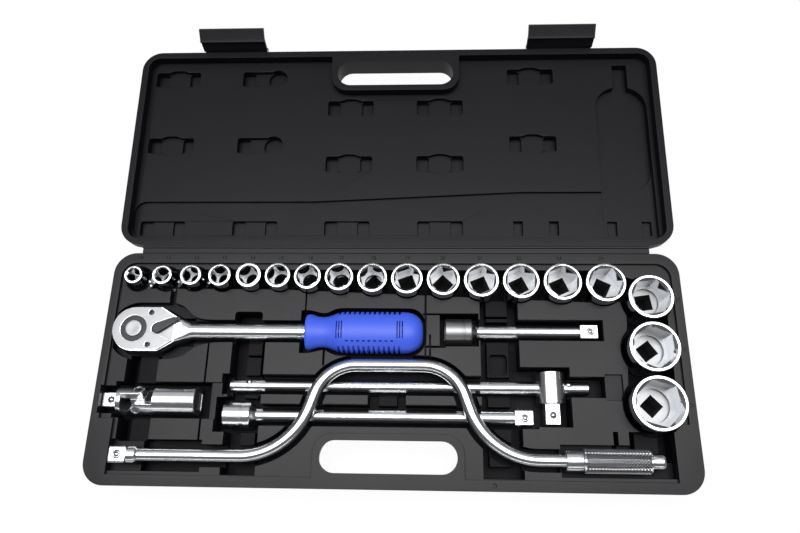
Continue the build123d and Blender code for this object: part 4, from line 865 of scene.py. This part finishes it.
class SOCKETSET_OT_ratchet(bpy.types.Operator):
    """Ratchet head, cover plate with its screws, drive gear, button and lever"""

    bl_idname = "socketset.ratchet"
    bl_label = "Ratchet"

    def execute(self, context):
        settings = context.scene.socket_tools
        body = rounded(cad_copy("ratchet_forging", "ratchet_body"), settings.edge)
        outline = profile(SHANK_RING, settings.shank_ring / MM)
        band = turned("shank_ring", "X", left_end("ratchet_grip"), outline)
        body = joined("ratchet_forging", body, band)
        finished(body, [chrome()], "ratchet", "chrome", "ratchet_body")

        cover = rounded(cad_copy("cover_plate", "ratchet_cover_plate"), settings.plate_edge)
        paint(cover, 1, lambda face: face.normal.z > LEVEL)
        finished(cover, [chrome(), satin_chrome()], "ratchet", "chrome", "ratchet_cover_plate")

        low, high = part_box("ratchet_cover_screws")
        head = (high.x - low.x) / 2 / MM
        place = Vector(((low.x + high.x) / 2, low.y + head * MM, high.z))
        depth = (low.z - high.z) / MM
        thread = settings.screw_thread / MM
        outline = [(depth, thread - 0.2), (depth + 0.3, thread), (-2.0, thread), *profile(SCREW_HEAD, head)]
        screw = turned("cover_screws", "Z", place, outline, HOLE_SIDES)
        up, hexagon = AXES["Z"], settings.screw_socket
        cut(screw, prism(6, place - up * settings.screw_depth, place + up * MM, hexagon, hexagon))
        other = copied(screw, (0, high.y - low.y - 2 * head * MM, 0))
        screws = joined("cover_screws", screw, other)
        finished(screws, [black_oxide()], "ratchet", "black_oxide", "ratchet_cover_screws")

        gear = rounded(cad_copy("drive_gear", "ratchet_drive_gear"), settings.gear_edge)
        finished(gear, [black_oxide()], "gear", "black_oxide", "ratchet_drive_gear")

        low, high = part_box("ratchet_release_button")
        wide = (high.x - low.x) / 2 / MM
        top = Vector((*middle("ratchet_release_button").xy, high.z))
        stem, depth = settings.button_stem / MM, (low.z - high.z) / MM
        outline = [(depth, stem - 0.3), (depth + 0.3, stem), (-5.0, stem)]
        outline += [*profile(BUTTON_CAP, wide), (-0.16, 0.5)]
        button = turned("release_button", "Z", top, outline)
        finished(button, [satin_chrome()], "button", "chrome", "ratchet_release_button")

        lever = rounded(cad_copy("reverse_lever", "ratchet_reverse_lever"), settings.lever_edge)
        low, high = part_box("ratchet_reverse_lever")
        tip = max((point.co.copy() for point in lever.data.vertices), key=lambda co: (co.xy - top.xy).length)
        pivot = Vector((low.x + settings.lever_round, top.y, high.z))
        tip.z = high.z
        along = tip - pivot
        size = (along.length * settings.rib_share, settings.lever_rib, settings.rib_rise)
        turn = along.xy.angle_signed(Vector((1, 0)))
        rib = block("lever_rib", pivot + along * settings.rib_middle, size, turn)
        soften(rib, settings.rib_rise * 0.4)
        lever = joined("reverse_lever", lever, rib)
        finished(lever, [black_oxide()], "lever", "black_oxide", "ratchet_reverse_lever")
        return {"FINISHED"}


class SOCKETSET_OT_grip(bpy.types.Operator):
    """Soft grip with a flange, a waist, finger notches and a blank panel"""

    bl_idname = "socketset.grip"
    bl_label = "Ratchet grip"

    def execute(self, context):
        settings = context.scene.socket_grip
        low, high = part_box("ratchet_grip")
        axis = left_end("ratchet_grip")
        slim = (high.z - low.z) / (high.y - low.y)
        outline = [(along, width / 2) for along, width in GRIP_STATIONS]
        piece = turned("soft_grip", "X", axis, outline, GRIP_SIDES)
        self.resize(piece, axis, 1, slim)
        barrel = (high.y - low.y) / 2
        notches = []
        for number in range(settings.notches):
            along = settings.notch_from + number * settings.notch_pitch
            for side in (-1, 1):
                centre = axis + Vector((along, side * barrel, 0))
                size = (settings.notch_width, 2 * settings.notch_reach, barrel)
                notches.append(block("notch", centre, size))
        self.engrave(piece, axis, barrel, settings.notch_depth, notches)
        self.engrave(piece, axis, barrel, settings.mark_depth, self.marks(axis, barrel, settings))
        finished(piece, [rubber()], "ratchet", "grip_rubber", "ratchet_grip")
        return {"FINISHED"}

    @staticmethod
    def resize(piece, axis, wide, tall):
        editing(piece)
        bpy.ops.transform.resize(value=(1, wide, tall), center_override=axis)
        done()

    @staticmethod
    def marks(axis, barrel, settings):
        """Blank panel on top, cross grooves at both ends of it and a row of dashes beside it."""
        up = Vector((0, 0, barrel))
        start, end = settings.panel_from, settings.panel_from + settings.panel_length
        places = []
        for side in (-1, 1):
            edge = side * (settings.panel_length - settings.groove_width) / 2
            places.append(((start + end) / 2 + edge, 0, settings.groove_width, settings.panel_width))
            edge = side * (settings.panel_width - settings.groove_width) / 2
            places.append(((start + end) / 2, edge, settings.panel_length, settings.groove_width))
        for number in range(settings.crosses):
            step = (number + 1) * settings.groove_pitch
            for along in (start - step, end + step):
                places.append((along, 0, settings.groove_width, settings.panel_width * settings.cross_share))
        for number in range(settings.dashes):
            along = start + settings.panel_length * (number + 0.5) / settings.dashes
            aside = -settings.panel_width * settings.dash_share
            places.append((along, aside, settings.dash_length, settings.groove_width))
        return [block("mark", axis + up + Vector((x, y, 0)), (long, wide, barrel * 1.6))
                for x, y, long, wide in places]

    def engrave(self, piece, axis, barrel, depth, tools):
        """Sink the tools into a piece by one even depth."""
        tool = joined("cutter", *tools)
        core = copied(piece, (0, 0, 0))
        share = 1 - depth / barrel
        self.resize(core, axis, share, share)
        cut(tool, core)
        cut(piece, tool)


class SOCKETSET_OT_extensions(bpy.types.Operator):
    """Two extension bars, each with a female square, a waist, a shaft and a drive square"""

    bl_idname = "socketset.extensions"
    bl_label = "Extensions"

    def execute(self, context):
        settings = context.scene.socket_tools
        for node, body in (("short_extension", "short_bar"), ("long_extension", "long_bar")):
            low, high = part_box(node)
            start = left_end(node)
            female = (high.z - low.z) / 2 / MM
            root = (high.x - low.x - settings.square_length) / MM
            shaft = settings.shaft / MM
            piece = turned(f"{node}_bar", "X", start, [
                *profile(EXTENSION_END, female), (27.0, shaft), (root - 1.2, shaft), (root - 0.9, shaft),
                (root + 0.4, shaft - 0.1)])
            hole = block("cutter", start + AXES["X"] * (settings.female_depth / 2 - MM),
                         (settings.female_depth + 2 * MM, settings.female, settings.female))
            cut(piece, hole)
            tip = Vector((high.x, *start.yz))
            square = square_end(tip - AXES["X"] * settings.square_length, tip, f"{node}_ball")
            piece = joined(f"{node}_bar", piece, square)
            if node == "short_extension":
                paint(piece, 1, lambda face: face.center.x < start.x + settings.satin_end)
            finished(piece, [chrome(), satin_chrome()], body, "chrome", node)
        return {"FINISHED"}


class SOCKETSET_OT_tbar(bpy.types.Operator):
    """Sliding bar and its slider"""

    bl_idname = "socketset.tbar"
    bl_label = "Sliding T-bar"

    def execute(self, context):
        settings = context.scene.socket_tools
        for node, body in (("tbar_rod", "tbar"), ("tbar_slider", "slider")):
            piece = rounded(cad_copy(f"{node}_plated", node), settings.edge)
            finished(piece, [chrome()], body, "chrome", node)
        return {"FINISHED"}


class SOCKETSET_OT_joint(bpy.types.Operator):
    """Universal joint's yokes and cross"""

    bl_idname = "socketset.joint"
    bl_label = "Universal joint"

    def execute(self, context):
        settings = context.scene.socket_tools
        for part in ("drive_yoke", "cross", "socket_yoke"):
            node, body = f"uj_{part}", f"joint_{part.removesuffix('_yoke')}"
            piece = cad_copy(f"{node}_plated", node)
            if node == "uj_socket_yoke":
                self.chamfer_end(piece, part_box(node)[1], settings.joint_end)
            rounded(piece, settings.edge)
            paint(piece, 1, lambda face: face.normal.x > 0.5 and face.center.x > middle(node).x)
            finished(piece, [chrome(), satin_chrome()], body, "chrome", node)
        return {"FINISHED"}

    @staticmethod
    def chamfer_end(piece, high, width):
        """Bevel the outer edge of the female end."""
        centre = middle("uj_socket_yoke")
        reach_out = high.z - centre.z

        def outer(edge):
            ends = [piece.data.vertices[index].co for index in edge.vertices]
            at_end = all(abs(co.x - high.x) < 0.01 * MM for co in ends)
            return at_end and all((co.yz - centre.yz).length > 0.95 * reach_out for co in ends)

        pick(piece, "EDGE", outer)
        bpy.ops.mesh.bevel(offset=width, segments=3, affect="EDGES")
        done()


class SOCKETSET_OT_brace(bpy.types.Operator):
    """Speed brace: bent rod with its square, collar, knurled sleeve and end stub"""

    bl_idname = "socketset.brace"
    bl_label = "Speed brace"

    def execute(self, context):
        settings = context.scene.socket_brace
        low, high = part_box("brace_crank")
        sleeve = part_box("brace_grip")
        height = (low.z + high.z) / 2
        foot = middle("brace_grip").y
        top = high.y - settings.tube
        tip = Vector((low.x, foot, height))
        rod = self.rod(tip, foot, top, height, high.x, settings)
        ring = turned("neck", "X", tip, profile(BRACE_NECK, settings.neck / MM, settings.square / MM))
        square = square_end(tip, tip + AXES["X"] * settings.square, "brace_ball")
        crank = joined("brace_crank_bent", rod, ring, square)
        finished(crank, [chrome()], "brace", "chrome", "brace_crank")

        def measured(node):
            """Start, radius and length of a piece on the sleeve's axis, the last two in millimetres."""
            start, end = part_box(node)
            return Vector((start.x, foot, height)), (end.z - start.z) / 2 / MM, (end.x - start.x) / MM

        axis, wide, far = measured("brace_collar")
        bore = settings.tube / MM + 0.05
        outline = [(0, bore), *profile(COLLAR_START, wide), *profile(COLLAR_END, wide, far), (far, bore)]
        collar = turned("brace_collar_turned", "X", axis, outline)
        finished(collar, [chrome()], "brace", "chrome", "brace_collar")

        axis, wide, far = measured("brace_end_stub")
        outline = profile(STUB_START, wide) + profile(STUB_END, wide, far)
        stub = turned("brace_stub_turned", "X", axis, outline)
        finished(stub, [chrome()], "brace", "chrome", "brace_end_stub")

        knurled = self.sleeve(sleeve, foot, height, settings)
        # The knurl's grooves are dark as painted shade
        finished(knurled, [chrome(), black_oxide()], "brace_sleeve", "chrome", "brace_grip", smooth=0)
        return {"FINISHED"}

    @staticmethod
    def rod(tip, foot, top, height, end, settings):
        """A ring drawn along straight runs and spun round the four bends."""
        slope = Vector((settings.foot - settings.top, top - foot, 0))
        turn = slope.xy.angle_signed(Vector((1, 0)))
        outer = settings.foot_round * tan(turn / 2)
        inner = settings.top_round * tan(turn / 2)
        leg = slope.length - outer - inner
        up, along, down = slope.normalized(), AXES["X"], Vector((slope.x, -slope.y, 0)).normalized()
        start = tip.x + settings.square
        added("rod", bpy.ops.mesh.primitive_circle_add, vertices=ROD_SIDES, radius=settings.tube,
              location=(start, foot, height), rotation=DISC_TURN["X"])
        piece = settle()
        editing(piece)

        def bend(centre, angle):
            bpy.ops.mesh.spin(steps=BEND_STEPS, angle=angle * SPIN, center=centre, axis=AXES["Z"])

        push(along * (-settings.foot - outer - start))
        bend(Vector((-settings.foot - outer, foot + settings.foot_round, height)), turn)
        push(up * leg)
        bend(Vector((-settings.top + inner, top - settings.top_round, height)), -turn)
        push(along * 2 * (settings.top - inner))
        bend(Vector((settings.top - inner, top - settings.top_round, height)), -turn)
        push(down * leg)
        bend(Vector((settings.foot + outer, foot + settings.foot_round, height)), turn)
        push(along * (end - settings.foot - outer))
        bpy.ops.mesh.select_all(action="SELECT")
        bpy.ops.mesh.fill_holes(sides=0)
        done()
        return piece

    @staticmethod
    def sleeve(box, foot, height, settings):
        """Rows of quads turned into diamonds and raised to points, on a hollow core."""
        low, high = box
        radius = (high.z - low.z) / 2 - settings.knurl
        edge = settings.sleeve_edge
        axis = Vector((low.x + edge, foot, height))
        added("knurled_sleeve", bpy.ops.mesh.primitive_circle_add, vertices=settings.knurl_around,
              radius=radius, location=axis, rotation=DISC_TURN["X"])
        piece = settle()
        editing(piece)
        pitch = (high.x - low.x - 2 * edge) / settings.knurl_along
        for _ in range(settings.knurl_along):
            push(AXES["X"] * pitch)
        done()
        corners = len(piece.data.vertices)
        editing(piece)
        bpy.ops.mesh.poke()
        mode("OBJECT")
        first, last = low.x + edge + pitch / 2, high.x - edge - pitch / 2

        def between(line):
            ends = [piece.data.vertices[index].co.x for index in line.vertices]
            return max(line.vertices) < corners and max(ends) > first and min(ends) < last

        pick(piece, "EDGE", between)
        bpy.ops.mesh.dissolve_edges(use_verts=False)
        pick(piece, "FACE", lambda face: len(face.vertices) == 4)
        bpy.ops.mesh.inset(thickness=settings.knurl_groove, use_individual=True)
        bpy.ops.mesh.poke(offset=settings.knurl)
        mode("OBJECT")
        # Painted shade: the grooves between the diamonds take the dark black oxide, standing for the shade
        # in the knurl's grooves
        paint(piece, 1, lambda face: len(face.vertices) == 4)

        def rim(line):
            ends = [piece.data.vertices[index].co.x for index in line.vertices]
            return max(ends) < first - pitch / 4 or min(ends) > last + pitch / 4

        pick(piece, "EDGE", rim)
        push((0, 0, 0))
        middle_x = (low.x + high.x) / 2
        stretch = (high.x - low.x) / (high.x - low.x - 2 * edge)
        lean = 1 - edge / radius
        bpy.ops.transform.resize(value=(stretch, lean, lean), center_override=(middle_x, foot, height))
        push((0, 0, 0))
        share = settings.bore / (radius - edge)
        bpy.ops.transform.resize(value=(1, share, share), center_override=(middle_x, foot, height))
        bpy.ops.mesh.bridge_edge_loops()
        done()
        return piece


class SOCKETSET_OT_stage(bpy.types.Operator):
    """Paper sweep, room light, three lamps and camera"""

    bl_idname = "socketset.stage"
    bl_label = "Stage"

    def execute(self, context):
        settings = context.scene.socket_stage
        scene = context.scene
        scene.view_settings.view_transform = "Standard"
        floor = added("paper_sweep", bpy.ops.mesh.primitive_plane_add, size=settings.floor_size)
        material, tree = new_material("paper_sweep_white")
        paper = add(tree, "ShaderNodeBsdfPrincipled", {"Base Color": (*settings.floor, 1), "Roughness": 0.8})
        glow = add(tree, "ShaderNodeEmission", {"Color": (1, 1, 1, 1), "Strength": 1.0})
        path = add(tree, "ShaderNodeLightPath")
        seen = path.outputs["Is Camera Ray"]
        for ray in ("Is Glossy Ray", "Is Transmission Ray"):
            both = {0: seen, 1: path.outputs[ray]}
            seen = add(tree, "ShaderNodeMath", both, operation="MAXIMUM").outputs[0]
        share = ranged(tree, seen, 0.0, settings.white)
        mix = add(tree, "ShaderNodeMixShader", {0: share, 1: paper.outputs[0], 2: glow.outputs[0]})
        floor.data.materials.append(covered(material, mix))

        world = bpy.data.worlds.new("studio_room")
        scene.world = world
        world.use_nodes = True
        room = world.node_tree.nodes["Background"]
        room.inputs["Color"].default_value = (1, 1, 1, 1)
        seen = add(world.node_tree, "ShaderNodeLightPath").outputs["Is Camera Ray"]
        level = ranged(world.node_tree, seen, settings.room, 1.0)
        world.node_tree.links.new(level, room.inputs["Strength"])

        tilt = (settings.strip_tilt, 0, 0)
        lamps = (
            ("soft_box", settings.key_place, (0, 0, 0), settings.key_size, settings.key),
            ("top_box", settings.top_place, (0, 0, 0), settings.top_size, settings.top),
            ("front_strip", settings.strip_place, tilt, settings.strip_size, settings.strip),
        )
        for name, place, turn, size, power in lamps:
            bpy.ops.object.light_add(type="AREA", location=place, rotation=turn)
            lamp = bpy.context.active_object
            lamp.name = name
            lamp.data.shape = "RECTANGLE"
            lamp.data.size, lamp.data.size_y = size
            lamp.data.energy = power

        bpy.ops.object.camera_add(location=settings.camera_place, rotation=settings.camera_turn)
        camera = bpy.context.active_object
        camera.name = "camera"
        camera.data.lens = settings.lens
        camera.data.sensor_width = settings.sensor
        camera.data.clip_start = settings.near
        scene.camera = camera
        return {"FINISHED"}


class SOCKETSET_PT_panel(bpy.types.Panel):
    """Buttons for the socket set's pieces"""

    bl_idname = "SOCKETSET_PT_panel"
    bl_label = "Socket Set"
    bl_space_type = "VIEW_3D"
    bl_region_type = "UI"
    bl_category = "Socket Set"

    def draw(self, context):
        for operator in OPERATORS:
            self.layout.operator(operator.bl_idname)


OPERATORS = (
    SOCKETSET_OT_case, SOCKETSET_OT_hinge, SOCKETSET_OT_numbers, SOCKETSET_OT_sockets, SOCKETSET_OT_ratchet,
    SOCKETSET_OT_grip, SOCKETSET_OT_extensions, SOCKETSET_OT_tbar, SOCKETSET_OT_joint, SOCKETSET_OT_brace,
    SOCKETSET_OT_stage,
)
GROUPS = {
    "socket_case": CaseSettings,
    "socket_sockets": SocketSettings,
    "socket_tools": ToolSettings,
    "socket_grip": GripSettings,
    "socket_brace": BraceSettings,
    "socket_stage": StageSettings,
}


def register():
    for group in GROUPS.values():
        bpy.utils.register_class(group)
    for key, group in GROUPS.items():
        setattr(bpy.types.Scene, key, bpy.props.PointerProperty(type=group))
    for operator in OPERATORS:
        bpy.utils.register_class(operator)
    bpy.utils.register_class(SOCKETSET_PT_panel)


def unregister():
    bpy.utils.unregister_class(SOCKETSET_PT_panel)
    for operator in reversed(OPERATORS):
        bpy.utils.unregister_class(operator)
    for key in GROUPS:
        delattr(bpy.types.Scene, key)
    for group in reversed(list(GROUPS.values())):
        bpy.utils.unregister_class(group)


def main():
    register()
    bpy.ops.socketset.case()
    bpy.ops.socketset.hinge()
    bpy.ops.socketset.numbers()
    bpy.ops.socketset.sockets()
    bpy.ops.socketset.ratchet()
    bpy.ops.socketset.grip()
    bpy.ops.socketset.extensions()
    bpy.ops.socketset.tbar()
    bpy.ops.socketset.joint()
    bpy.ops.socketset.brace()
    bpy.ops.socketset.stage()
    # Balls, pins and the pawl keep the solids' own shape
    finishes = {
        "case_plastic": polyethylene(), "chrome": chrome(), "grip_rubber": rubber(),
        "black_oxide": black_oxide(), "ball_steel": bearing_steel(),
    }
    for part in frame["record"]["subparts"]:
        node = frame["nodes"][part["node"]]
        if not node.hide_render:
            node.data.materials.clear()
            node.data.materials.append(finishes[part["material_slot"]])


if __name__ == "__main__":
    main()
